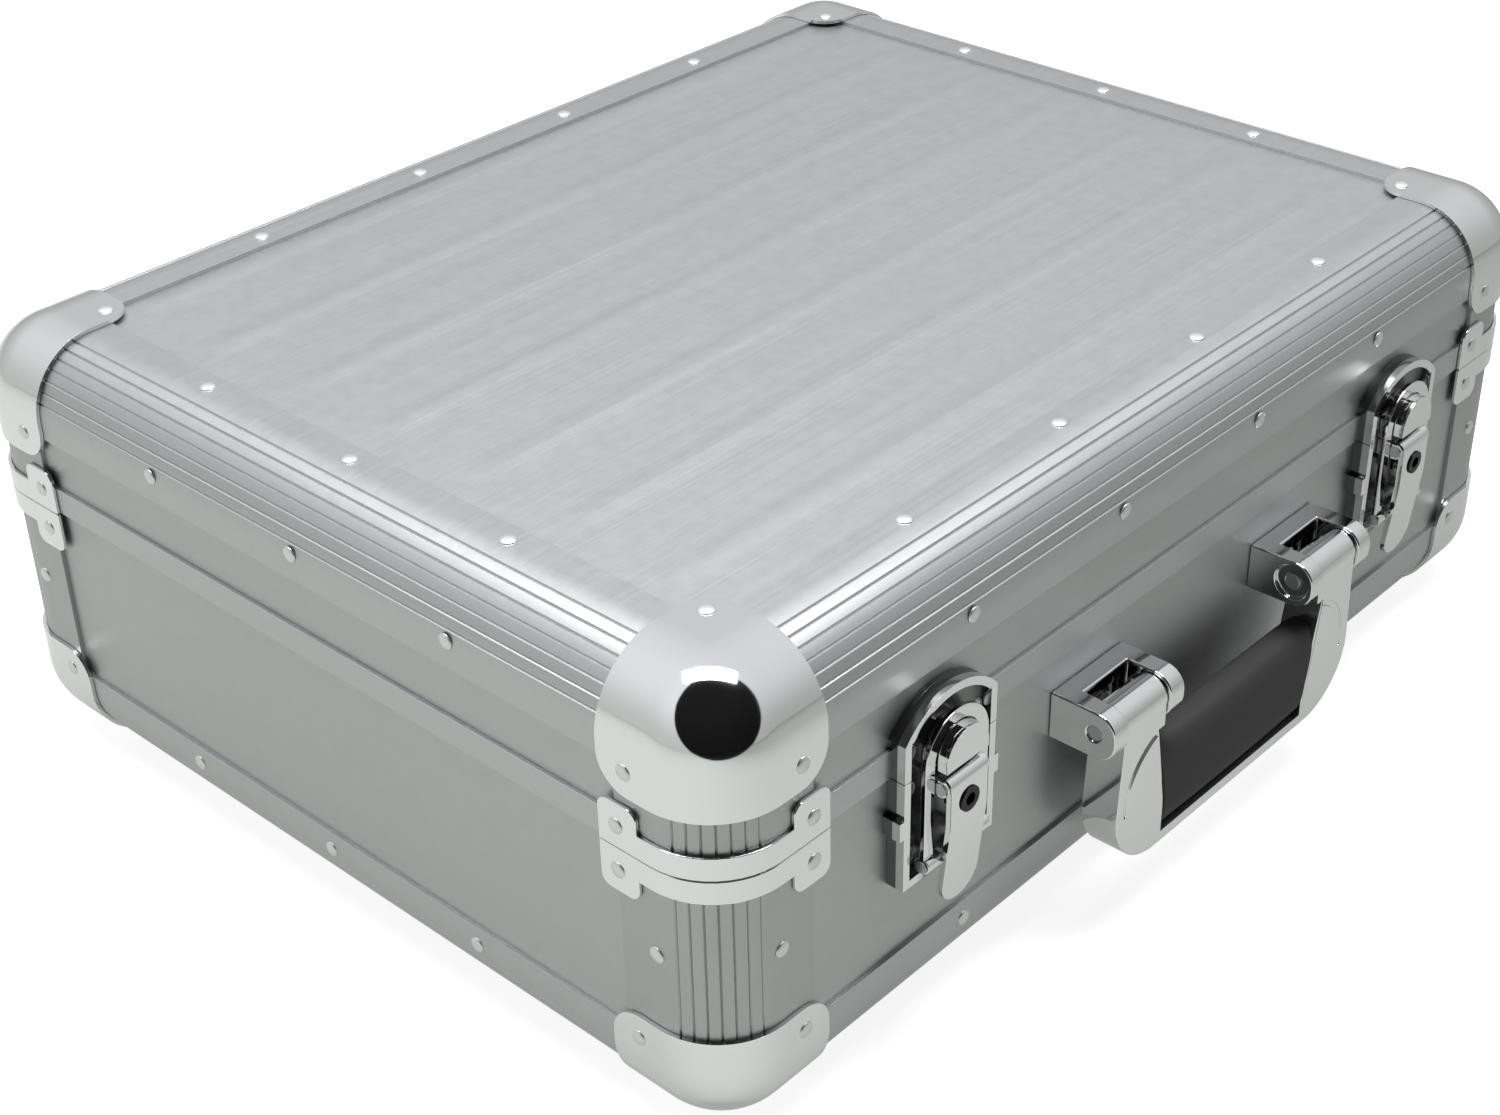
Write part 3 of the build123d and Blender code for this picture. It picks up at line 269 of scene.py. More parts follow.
@dataclass(frozen=True)
class RolledMetal(Finish):
    """Satin metal with a fine grain along one direction and faint broad clouds."""

    grain: Triple = (6.0, 900.0, 900.0)
    grain_height: float = 4e-6
    grain_sheen: float = 0.12
    speck_cells: float = 160.0
    speck_sheen: float = 0.08
    cloud_cells: float = 7.0
    cloud: float = 0.05
    contrast: float = 0.07

    def build(self) -> bpy.types.Material:
        """Make the material.

        Returns:
            The material.
        """
        material, graph = self.graph()
        fine = graph.noise(self.grain, 2.0)
        broad = graph.noise((self.cloud_cells,) * 3, 2.0)
        speck = graph.noise((self.speck_cells,) * 3, 3.0)
        shade = (broad - 0.5) * (self.cloud * 4) + 0.5
        dark, bright = rgba(self.color, 1 - self.contrast), rgba(self.color, 1 + self.contrast)
        sheen = (fine - 0.5) * self.grain_sheen + (speck - 0.5) * self.speck_sheen
        self.close(graph, {
            "Base Color": graph.mix(shade, dark, bright),
            "Roughness": sheen + self.roughness,
            "Metallic": 1.0,
            "Normal": graph.bump(fine, self.grain_height),
        })
        return material


@dataclass(frozen=True)
class PlatedMetal(Finish):
    """Bright plating with light smudges, duller in a recess and darkened there with painted shade.
    """

    smudge_cells: float = 45.0
    smudge: float = 0.08
    ripple_cells: float = 700.0
    ripple_height: float = 2e-6
    recess_y: float | None = None
    recess_edge: float = 0.4
    recess_painted_shade: float = 0.22
    recess_dull: float = 0.18

    def build(self) -> bpy.types.Material:
        """Make the material.

        Returns:
            The material.
        """
        material, graph = self.graph()
        broad = graph.noise((self.smudge_cells,) * 3, 3.0)
        ripple = graph.noise((self.ripple_cells,) * 3, 2.0)
        color = rgba(self.color)
        rough = broad.smooth(0.35, 0.75) * self.smudge + self.roughness
        if self.recess_y is not None:
            # Painted shade: the colour darkens towards the floor of the recess, where shade falls;
            # the roughness rises there too.
            place_y = graph.node("ShaderNodeSeparateXYZ", {0: graph.place()}, out="Y")
            recess_shade_mask = place_y.smooth(self.recess_y - self.recess_edge * MM, self.recess_y)
            color = graph.mix(recess_shade_mask, color, rgba(self.color, self.recess_painted_shade))
            rough = rough + recess_shade_mask * self.recess_dull
        self.close(graph, {
            "Base Color": color,
            "Roughness": rough,
            "Metallic": 1.0,
            "Normal": graph.bump(ripple, self.ripple_height),
        })
        return material


@dataclass(frozen=True)
class Moulded(Finish):
    """Rubber or plastic with a fine moulded texture and a little dust."""

    pebble: float = 900.0
    pebble_height: float = 3e-5
    specular: float = 0.15
    dust_cells: float = 30.0
    dust_share: float = 0.3
    dust_shade: float = 1.6
    dust_sheen: float = 0.15

    def build(self) -> bpy.types.Material:
        """Make the material.

        Returns:
            The material.
        """
        material, graph = self.graph()
        pebble = graph.noise((self.pebble,) * 3, 2.0)
        dust = graph.noise((self.dust_cells,) * 3, 4.0)
        share = dust.smooth(0.4, 0.8) * self.dust_share
        self.close(graph, {
            "Base Color": graph.mix(share, rgba(self.color), rgba(self.color, self.dust_shade)),
            "Roughness": (dust - 0.5) * self.dust_sheen + self.roughness,
            "Normal": graph.bump(pebble, self.pebble_height),
            "Specular IOR Level": self.specular,
        })
        return material


@dataclass(frozen=True)
class Foam(Finish):
    """Dense dark foam with open cells, painted darker in their pits and lighter on their rims."""

    cell: float = 1400.0
    cell_depth: float = 2e-4
    pit_painted_shade: float = 0.6
    rim_painted_light: float = 1.3

    def build(self) -> bpy.types.Material:
        """Make the material.

        Returns:
            The material.
        """
        material, graph = self.graph()
        inputs = {"Vector": graph.place((self.cell,) * 3), "Scale": 1.0}
        cells = graph.node("ShaderNodeTexVoronoi", inputs, out="Distance")
        # Painted shade in the pits of the cells and painted light on their rims, following the
        # bump.
        pit, rim = rgba(self.color, self.pit_painted_shade), rgba(self.color, self.rim_painted_light)
        self.close(graph, {
            "Base Color": graph.mix(cells, pit, rim),
            "Roughness": self.roughness,
            "Normal": graph.bump(cells, self.cell_depth),
        })
        return material


@dataclass(frozen=True)
class PressedBoard(Finish):
    """Brown fibre board with a mottled face."""

    fibre: Triple = (900.0, 300.0, 900.0)
    fibre_height: float = 1e-4
    dark_shade: float = 0.7
    light_shade: float = 1.25

    def build(self) -> bpy.types.Material:
        """Make the material.

        Returns:
            The material.
        """
        material, graph = self.graph()
        fibre = graph.noise(self.fibre, 4.0)
        dark, light = rgba(self.color, self.dark_shade), rgba(self.color, self.light_shade)
        self.close(graph, {
            "Base Color": graph.mix(fibre, dark, light),
            "Roughness": self.roughness,
            "Normal": graph.bump(fibre, self.fibre_height),
        })
        return material


# Millimetres that the floor of a latch plate's recess stands off the case
PLATE_RIM = 2.2
PLATE_RECESS_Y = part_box("base_edge_extrusions")[0].y - PLATE_RIM * MM


class Paint(Enum):
    """Every finish used on the case."""

    EDGE = RolledMetal("edge_aluminium", (0.50, 0.51, 0.515), 0.42)
    POST = RolledMetal("post_aluminium", (0.43, 0.44, 0.44), 0.40, grain=(900.0, 900.0, 6.0))
    SKIN = RolledMetal(
        "skin_aluminium", (0.475, 0.49, 0.49), 0.47, grain_height=6e-6, cloud=0.08
    )
    CORNER = PlatedMetal("corner_plating", (0.80, 0.81, 0.81), 0.045, smudge=0.05)
    FITTING = PlatedMetal("fitting_plating", (0.78, 0.785, 0.785), 0.04, smudge=0.05)
    PLATE = PlatedMetal(
        "plate_plating", (0.78, 0.785, 0.785), 0.05, smudge=0.05, recess_y=PLATE_RECESS_Y
    )
    RIVET = PlatedMetal("rivet_metal", (0.46, 0.47, 0.475), 0.5)
    PIN = RolledMetal("pin_steel", (0.50, 0.51, 0.52), 0.28)
    # Painted shade: the lock plugs are near black to stand in for the dark keyhole.
    LOCK = RolledMetal("lock_plug_painted_shade", (0.035, 0.035, 0.037), 0.4)
    HINGE = RolledMetal("hinge_steel", (0.56, 0.57, 0.58), 0.30)
    GRIP = Moulded("grip_rubber", (0.006, 0.006, 0.0065), 0.28)
    FOOT = Moulded("foot_rubber", (0.02, 0.02, 0.02), 0.7)
    FOAM = Foam("foam", (0.035, 0.035, 0.038), 0.95)
    BOARD = PressedBoard("pressed_board", (0.30, 0.20, 0.11), 0.8)
    DIVIDER = Moulded("divider_board", (0.03, 0.03, 0.032), 0.6, pebble=500.0)

    @property
    def material(self) -> bpy.types.Material:
        """The material of this finish, made on first use."""
        found = bpy.data.materials.get(self.value.name)
        return found or self.value.build()


# Meshes


def smooth(mesh: bpy.types.Mesh) -> None:
    """Shade every face of a mesh smooth."""
    mesh.polygons.foreach_set("use_smooth", [True] * len(mesh.polygons))


def place_object(name: str, data: bpy.types.ID) -> bpy.types.Object:
    """Put an object into the scene.

    Args:
        name: Name of the object.
        data: Its mesh, camera or lamp.

    Returns:
        The object.
    """
    made = bpy.data.objects.new(name, data)
    bpy.context.scene.collection.objects.link(made)
    return made


def soften(made: bpy.types.Object, width: float, angle: float = 30.0, segments: int = 3) -> None:
    """Round the edges of an object and even out its shading.

    Args:
        made: Object to work on.
        width: How far the edges are rounded, in millimetres.
        angle: Smallest angle in degrees that counts as an edge.
        segments: Steps of the rounding.
    """
    bevel = made.modifiers.new("edges", "BEVEL")
    bevel.width = width * MM
    bevel.segments = segments
    bevel.limit_method = "ANGLE"
    bevel.angle_limit = math.radians(angle)
    made.modifiers.new("normals", "WEIGHTED_NORMAL").keep_sharp = True


@dataclass
class Mesh:
    """Vertices and faces gathered for one object."""

    verts: list[Vector] = field(default_factory=list)
    faces: list[tuple[int, ...]] = field(default_factory=list)

    def grid(self, rows: list[list[Vector]], flip: bool = False) -> None:
        """Add a grid of quads.

        Args:
            rows: Points, row by row.
            flip: True to turn the faces over.
        """
        start = len(self.verts)
        across = len(rows[0])
        for row in rows:
            self.verts.extend(row)
        for i in range(len(rows) - 1):
            for j in range(across - 1):
                a = start + i * across + j
                face = (a, a + 1, a + across + 1, a + across)
                self.faces.append(face[::-1] if flip else face)

    def make(self, name: str, paint: Paint, body: str) -> bpy.types.Object:
        """Make the object, with doubled points joined and faces turned outward.

        Args:
            name: Name of the object.
            paint: Its finish.
            body: Body that it rides on.

        Returns:
            The object.
        """
        mesh = bpy.data.meshes.new(name)
        mesh.from_pydata([tuple(v) for v in self.verts], [], self.faces)
        work = bmesh.new()
        work.from_mesh(mesh)
        bmesh.ops.remove_doubles(work, verts=work.verts, dist=WELD)
        bmesh.ops.dissolve_degenerate(work, dist=WELD / 10, edges=work.edges)
        bmesh.ops.recalc_face_normals(work, faces=work.faces)
        work.to_mesh(mesh)
        work.free()
        smooth(mesh)
        mesh.materials.append(paint.material)
        made = place_object(name, mesh)
        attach(made, body)
        return made


def settle(made: bpy.types.Object) -> bpy.types.Object:
    """Turn the modifiers of an object into plain mesh.

    Args:
        made: Object with modifiers.

    Returns:
        The same object with its finished mesh.
    """
    graph = bpy.context.evaluated_depsgraph_get()
    mesh = bpy.data.meshes.new_from_object(made.evaluated_get(graph))
    made.modifiers.clear()
    made.data = mesh
    return made


def islands(node: str) -> list[tuple[Vector, Vector]]:
    """Centres and half sizes of the separate solids in a CAD node.

    Args:
        node: Name of the node.

    Returns:
        Centre and half size of each solid.
    """
    work = bmesh.new()
    work.from_mesh(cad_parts[node].data)
    bmesh.ops.remove_doubles(work, verts=work.verts, dist=WELD)
    found, seen = [], set()
    for start in work.verts:
        if start in seen:
            continue
        seen.add(start)
        stack, points = [start], []
        while stack:
            vert = stack.pop()
            points.append(vert.co.copy())
            for edge in vert.link_edges:
                other = edge.other_vert(vert)
                if other not in seen:
                    seen.add(other)
                    stack.append(other)
        low = Vector([min(p[i] for p in points) for i in range(3)])
        high = Vector([max(p[i] for p in points) for i in range(3)])
        found.append(((low + high) / 2, (high - low) / 2))
    work.free()
    return found


class Dress(Enum):
    """How far the edges of a CAD node are softened, in millimetres."""

    PLAIN = 0.0
    SHEET = 0.15
    FITTING = 0.35
    CASTING = 0.7
    ROUND = 1.0


# Rounding in millimetres of an edge left plain, and the turn in degrees that counts as flat
PLAIN_EDGE = 0.03
FLAT_ANGLE = 0.5


def dress(
    node: str, paint: Paint, edge: Dress = Dress.PLAIN, angle: float = 32.0
) -> bpy.types.Object:
    """Give a CAD node its finish and soft edges.

    Args:
        node: Name of the node.
        paint: Its finish.
        edge: How far its edges are softened.
        angle: Smallest angle in degrees that counts as an edge.

    Returns:
        The node's object.
    """
    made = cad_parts[node]
    made.data.materials.clear()
    made.data.materials.append(paint.material)
    smooth(made.data)
    made.modifiers.new("weld", "WELD").merge_threshold = 2 * WELD
    plane = made.modifiers.new("planes", "DECIMATE")
    plane.decimate_type = "DISSOLVE"
    plane.angle_limit = math.radians(FLAT_ANGLE)
    soften(made, max(edge.value, PLAIN_EDGE), angle, 1 if edge is Dress.PLAIN else 3)
    return made


# Sub-assemblies


@dataclass(frozen=True)
class BallCorner:
    """Pressed ball corner drawn from its rounding, with sizes in millimetres."""

    radius: float = 26.0
    outside: float = 1.5
    metal: float = 1.35
    reach: float = 46.0
    drop: float = 42.0
    lobe: float = 12.0
    steps: int = 22
    lobe_steps: int = 10
    edge: float = 0.45
    edge_angle: float = 40.0

    def _samples(self, reach: float) -> list[float]:
        """Distances along one side, closer together in the lobe's corner.

        Args:
            reach: Length of the side.

        Returns:
            Rising distances from the corner plane.
        """
        plain = [(reach - self.lobe) * i / self.steps for i in range(self.steps)]
        turn = [math.sin(math.pi / 2 * i / self.lobe_steps) for i in range(self.lobe_steps + 1)]
        return plain + [reach - self.lobe + self.lobe * t for t in turn]

    def _limit(self, along: float, reach: float, other: float) -> float:
        """Length of the other side at a place along this one.

        Args:
            along: Distance along this side.
            reach: Length of this side.
            other: Full length of the other side.

        Returns:
            The length that stays inside the rounded lobe.
        """
        past = max(0.0, along - (reach - self.lobe))
        return other - self.lobe + math.sqrt(max(0.0, self.lobe**2 - past**2))

    def _rounded(self, point: Vector, offset: float) -> Vector:
        """Move a point of the square corner onto the rounded one.

        Args:
            point: Point on one of the three planes.
            offset: Distance outside the rounded corner.

        Returns:
            The point on the rounded surface.
        """
        r = self.radius
        centre = Vector([max(c, r) for c in point])
        return centre + (point - centre).normalized() * (r + offset)

    def _patch(self, axes: tuple[int, int], offset: float) -> list[list[Vector]]:
        """Points of one of the three faces.

        Args:
            axes: The two axes that the face spans.
            offset: Distance outside the rounded corner.

        Returns:
            Rows of points.
        """
        reach = [self.reach, self.reach, self.drop]
        first, second = axes
        rows = []
        for a in self._samples(reach[first]):
            limit = self._limit(a, reach[first], reach[second])
            row = []
            for b in self._samples(reach[second]):
                point = Vector((0.0, 0.0, 0.0))
                point[first] = a
                point[second] = b / reach[second] * limit
                row.append(self._rounded(point, offset))
            rows.append(row)
        return rows

    def mesh(self, name: str, body: str, places: list[Matrix]) -> bpy.types.Object:
        """Make all corners of one body.

        Args:
            name: Name of the object.
            body: Body that it rides on.
            places: Frame of each corner, in millimetres.

        Returns:
            The object.
        """
        mesh = Mesh()
        for place in places:
            for axes in ((0, 1), (0, 2), (1, 2)):
                rows = [[place @ p * MM for p in row] for row in self._patch(axes, self.outside)]
                mesh.grid(rows)
        made = mesh.make(name, Paint.CORNER, body)
        thick = made.modifiers.new("metal", "SOLIDIFY")
        thick.thickness = self.metal * MM
        thick.offset = -1
        soften(made, self.edge, self.edge_angle)
        return settle(made)


@dataclass(frozen=True)
class Rivets:
    """Domed rivet heads placed on the CAD heads by one geometry node tree.

    Radius and height are in millimetres, and sunk is the share of the ball kept below its middle.
    """

    radius: float = 2.9
    height: float = 0.9
    sunk: float = 0.05
    segments: int = 20
    rings: int = 12

    def tree(self) -> bpy.types.NodeTree:
        """Node tree that puts a dome on every point along its facing.

        Returns:
            The tree, with named inputs for the sizes and the finish.
        """
        tree = bpy.data.node_groups.new("rivet_domes", "GeometryNodeTree")
        kinds = {"Heads": "Geometry", "Radius": "Float", "Height": "Float", "Finish": "Material"}
        for name, kind in kinds.items():
            tree.interface.new_socket(name, in_out="INPUT", socket_type="NodeSocket" + kind)
        tree.interface.new_socket("Domes", in_out="OUTPUT", socket_type="NodeSocketGeometry")
        new, link = tree.nodes.new, tree.links.new
        given, result = new("NodeGroupInput"), new("NodeGroupOutput")
        ball = new("GeometryNodeMeshUVSphere")
        ball.inputs["Segments"].default_value = self.segments
        ball.inputs["Rings"].default_value = self.rings
        ball.inputs["Radius"].default_value = 1.0
        place, apart = new("GeometryNodeInputPosition"), new("ShaderNodeSeparateXYZ")
        link(place.outputs[0], apart.inputs[0])
        under = new("FunctionNodeCompare")
        under.operation = "LESS_THAN"
        link(apart.outputs["Z"], under.inputs[0])
        under.inputs[1].default_value = -self.sunk
        cut = new("GeometryNodeDeleteGeometry")
        link(ball.outputs["Mesh"], cut.inputs["Geometry"])
        link(under.outputs[0], cut.inputs["Selection"])
        scale = new("ShaderNodeCombineXYZ")
        link(given.outputs["Radius"], scale.inputs["X"])
        link(given.outputs["Radius"], scale.inputs["Y"])
        link(given.outputs["Height"], scale.inputs["Z"])
        shape = new("GeometryNodeTransform")
        link(cut.outputs[0], shape.inputs["Geometry"])
        link(scale.outputs[0], shape.inputs["Scale"])
        facing = new("GeometryNodeInputNamedAttribute")
        facing.data_type = "FLOAT_VECTOR"
        facing.inputs["Name"].default_value = "facing"
        turn = new("FunctionNodeAlignRotationToVector")
        link(facing.outputs[0], turn.inputs["Vector"])
        copies = new("GeometryNodeInstanceOnPoints")
        link(given.outputs["Heads"], copies.inputs["Points"])
        link(shape.outputs[0], copies.inputs["Instance"])
        link(turn.outputs[0], copies.inputs["Rotation"])
        real = new("GeometryNodeRealizeInstances")
        link(copies.outputs[0], real.inputs[0])
        paint = new("GeometryNodeSetMaterial")
        link(real.outputs[0], paint.inputs["Geometry"])
        link(given.outputs["Finish"], paint.inputs["Material"])
        link(paint.outputs[0], result.inputs[0])
        return tree

    def mesh(self, name: str, body: str, nodes: tuple[str, ...]) -> bpy.types.Object:
        """Make the domes of one body in place of its CAD heads.

        Args:
            name: Name of the object.
            body: Body that it rides on.
            nodes: CAD nodes that hold the heads.

        Returns:
            The object.
        """
        points, facings = [], []
        centre = case_centre()
        for node in nodes:
            for middle, half in islands(node):
                axis = min(range(3), key=lambda i: half[i])
                out = Vector((0.0, 0.0, 0.0))
                out[axis] = 1.0 if middle[axis] > centre[axis] else -1.0
                points.append(middle - out * half[axis])
                facings.append(out)
        mesh = bpy.data.meshes.new(name)
        mesh.from_pydata([tuple(p) for p in points], [], [])
        facing = mesh.attributes.new("facing", "FLOAT_VECTOR", "POINT")
        facing.data.foreach_set("vector", [c for f in facings for c in f])
        made = place_object(name, mesh)
        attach(made, body)
        tree = bpy.data.node_groups.get("rivet_domes") or self.tree()
        modifier = made.modifiers.new("domes", "NODES")
        modifier.node_group = tree
        values = {"Radius": self.radius * MM, "Height": self.height * MM}
        values["Finish"] = Paint.RIVET.material
        for item in tree.interface.items_tree:
            if item.in_out == "INPUT" and item.name in values:
                modifier[item.identifier] = values[item.name]
        settle(made)
        smooth(made.data)
        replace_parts(made, *nodes)
        return made


def case_centre() -> Vector:
    """Middle of the case body, in metres.

    Returns:
        The point halfway between the outer planes of the extrusions.
    """
    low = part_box("base_edge_extrusions")[0]
    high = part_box("lid_edge_extrusions")[1]
    return (low + high) / 2


def corner_places(top: bool) -> list[Matrix]:
    """Frames of the four corners of the lid or of the base, in millimetres.

    Args:
        top: True for the lid.

    Returns:
        Matrices that carry inward distances from a corner to places on the case.
    """
    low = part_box("base_edge_extrusions")[0] / MM
    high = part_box("lid_edge_extrusions")[1] / MM
    z = high.z if top else low.z
    down = -1 if top else 1
    places = []
    for x, dx in ((low.x, 1), (high.x, -1)):
        for y, dy in ((low.y, 1), (high.y, -1)):
            turn = Matrix.Diagonal((dx, dy, down, 1))
            places.append(Matrix.Translation((x, y, z)) @ turn)
    return places


@dataclass(frozen=True)
class TopSkin:
    """Top sheet of the lid with its soft pressed beads, with sizes in millimetres.

    Pressed is the height of the CAD skin's beads, and height that of the softer ones made here.
    """

    pitch: float = 44.9
    shift: float = 8.7
    half_width: float = 8.5
    height: float = 0.3
    pressed: float = 0.5
    half_length: float = 194.5
    fade: float = 22.0
    each_side: int = 3
    columns: int = 96
    rows: int = 200

    def _rise(self, x: float, y: float) -> float:
        """Height of the beads over the flat sheet.

        Args:
            x: Distance from the middle of the case along it, in millimetres.
            y: Distance from the middle of the case across it, in millimetres.

        Returns:
            The height in millimetres.
        """
        nearest = round((y - self.shift) / self.pitch)
        if abs(nearest) > self.each_side:
            return 0.0
        away = abs(y - self.shift - nearest * self.pitch)
        if away >= self.half_width:
            return 0.0
        end = min(1.0, max(0.0, (self.half_length - abs(x)) / self.fade))
        crown = 0.5 + 0.5 * math.cos(math.pi * away / self.half_width)
        return self.height * end * end * (3 - 2 * end) * crown

    def mesh(self) -> bpy.types.Object:
        """Make the sheet.

        Returns:
            The object.
        """
        low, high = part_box("lid_top_skin")
        middle = case_centre()
        flat = high.z - self.pressed * MM
        tops, unders = [], []
        for i in range(self.columns + 1):
            x = low.x + (high.x - low.x) * i / self.columns
            ys = [low.y + (high.y - low.y) * j / self.rows for j in range(self.rows + 1)]
            rises = [self._rise((x - middle.x) / MM, (y - middle.y) / MM) for y in ys]
            tops.append([Vector((x, y, flat + rise * MM)) for y, rise in zip(ys, rises)])
            unders.append([Vector((x, y, low.z)) for y in ys])
        mesh = Mesh()
        mesh.grid(tops)
        mesh.grid(unders, flip=True)
        mesh.grid([tops[0], unders[0]])
        mesh.grid([unders[-1], tops[-1]])
        mesh.grid([[row[0] for row in unders], [row[0] for row in tops]])
        mesh.grid([[row[-1] for row in tops], [row[-1] for row in unders]])
        made = mesh.make("top_skin", Paint.SKIN, "lid")
        made.modifiers.new("normals", "WEIGHTED_NORMAL").keep_sharp = True
        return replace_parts(settle(made), "lid_top_skin")


class Shell:
    """Lid or base: extrusions, skins, boards, corners and rivets."""

    def __init__(self, body: str) -> None:
        """Choose the half.

        Args:
            body: Name of the body, lid or base.
        """
        self.body = body

    def _corners(self) -> bpy.types.Object:
        """Make the four ball corners in place of the CAD ones."""
        b = self.body
        corners = BallCorner().mesh(b + "_balls", b, corner_places(b == "lid"))
        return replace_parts(corners, b + "_ball_corners")

    def build(self) -> list[bpy.types.Object]:
        """Dress the CAD nodes and add corners and rivets.

        Returns:
            The pieces.
        """
        b = self.body
        heads = (b + "_rivets", b + "_latch_rivets", "hinge_" + b + "_rivets")
        return [
            dress(b + "_edge_extrusions", Paint.EDGE, angle=28),
            dress(b + "_corner_extrusions", Paint.POST, angle=28),
            dress(b + "_closing_bars", Paint.EDGE, Dress.SHEET),
            dress(b + "_side_skins", Paint.SKIN),
            TopSkin().mesh() if b == "lid" else dress("base_bottom_skin", Paint.SKIN),
            dress(b + "_side_boards", Paint.BOARD),
            dress("lid_top_board" if b == "lid" else "base_bottom_board", Paint.BOARD),
            dress(b + "_corner_braces", Paint.CORNER, Dress.FITTING),
            dress(b + "_wall_linings", Paint.FOAM, Dress.FITTING),
            self._corners(),
            Rivets().mesh(b + "_domes", b, heads),
        ]


@dataclass(frozen=True)
class Handle:
    """Swinging handle with its pedestals and pins, and the sizes of its grip in millimetres."""

    squareness: float = 2.9
    low_half: float = 45.0
    straight: float = 14.5
    swell: float = 0.7
    rings: int = 48
    quarter_steps: int = 14
    edge: float = 0.6
    edge_angle: float = 50.0

    def _ring(self, share: float, half: Vector, centre: Vector) -> list[Vector]:
        """Rounded section of the grip at one place along it.

        Args:
            share: Place along the grip, from -1 at the left end to 1 at the right.
            half: Half length at the top, half thickness and half height in metres.
            centre: Middle of the grip.

        Returns:
            Closed ring of points.
        """
        half_y, half_z = half.y, half.z
        low_half, taper_from = self.low_half * MM, self.straight * MM - half_z
        points = []
        for step in range(4 * self.quarter_steps):
            angle = math.pi / 2 * step / self.quarter_steps
            across, up = math.cos(angle), math.sin(angle)
            y = half_y * math.copysign(abs(across) ** (2 / self.squareness), across)
            z = half_z * math.copysign(abs(up) ** (2 / self.squareness), up)
            rise = max(0.0, z - taper_from) / (half_z - taper_from)
            reach = low_half + (half.x - low_half) * rise
            points.append(Vector((centre.x + share * reach, centre.y + y, centre.z + z)))
        return points + [points[0].copy()]

    def grip(self) -> bpy.types.Object:
        """Make the soft grip with a slight swell in the middle.

        Returns:
            The object.
        """
        low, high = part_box("handle_grip")
        centre, half = (low + high) / 2, (high - low) / 2
        rows = []
        for i in range(self.rings + 1):
            share = 2 * i / self.rings - 1
            drawn = self.swell * MM * share * share
            rows.append(self._ring(share, half - Vector((0, drawn, 0)), centre))
        reach = (half.x + self.low_half * MM) / 2
        ends = [[centre + Vector((side * reach, 0, 0))] * len(rows[0]) for side in (-1, 1)]
        mesh = Mesh()
        mesh.grid([ends[0]] + rows + [ends[1]])
        made = mesh.make("grip", Paint.GRIP, "handle")
        soften(made, self.edge, self.edge_angle)
        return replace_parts(settle(made), "handle_grip")

    def build(self) -> list[bpy.types.Object]:
        """Dress the handle.

        Returns:
            The pieces.
        """
        return [
            dress("handle_frame", Paint.FITTING, Dress.CASTING, 25),
            dress("handle_pedestals", Paint.FITTING, Dress.CASTING, 25),
            dress("handle_pins", Paint.PIN, Dress.FITTING),
            self.grip(),
        ]


class Latches:
    """Both draw latches: plates, levers, bails and lock plugs."""

    def build(self) -> list[bpy.types.Object]:
        """Dress every piece of the latches.

        Returns:
            The pieces.
        """
        pieces = [
            dress("lid_latch_plates", Paint.PLATE, Dress.ROUND, 25),
            dress("base_latch_plates", Paint.PLATE, Dress.ROUND, 25),
            dress("latch_lever_pins", Paint.PIN),
        ]
        for side in ("left", "right"):
            pieces += [
                dress("latch_lever_" + side, Paint.FITTING, Dress.FITTING, 25),
                dress("latch_bail_" + side, Paint.FITTING, Dress.FITTING, 25),
                dress("bail_pin_" + side, Paint.PIN),
                dress("lock_plug_" + side, Paint.LOCK, Dress.SHEET),
            ]
        return pieces


class Hinges:
    """Stop hinges on the rear."""

    def build(self) -> list[bpy.types.Object]:
        """Dress the leaves and pins.

        Returns:
            The pieces.
        """
        return [
            dress("hinge_lid_leaves", Paint.HINGE, Dress.FITTING),
            dress("hinge_base_leaves", Paint.HINGE, Dress.FITTING),
            dress("hinge_pins", Paint.PIN, Dress.SHEET),
        ]


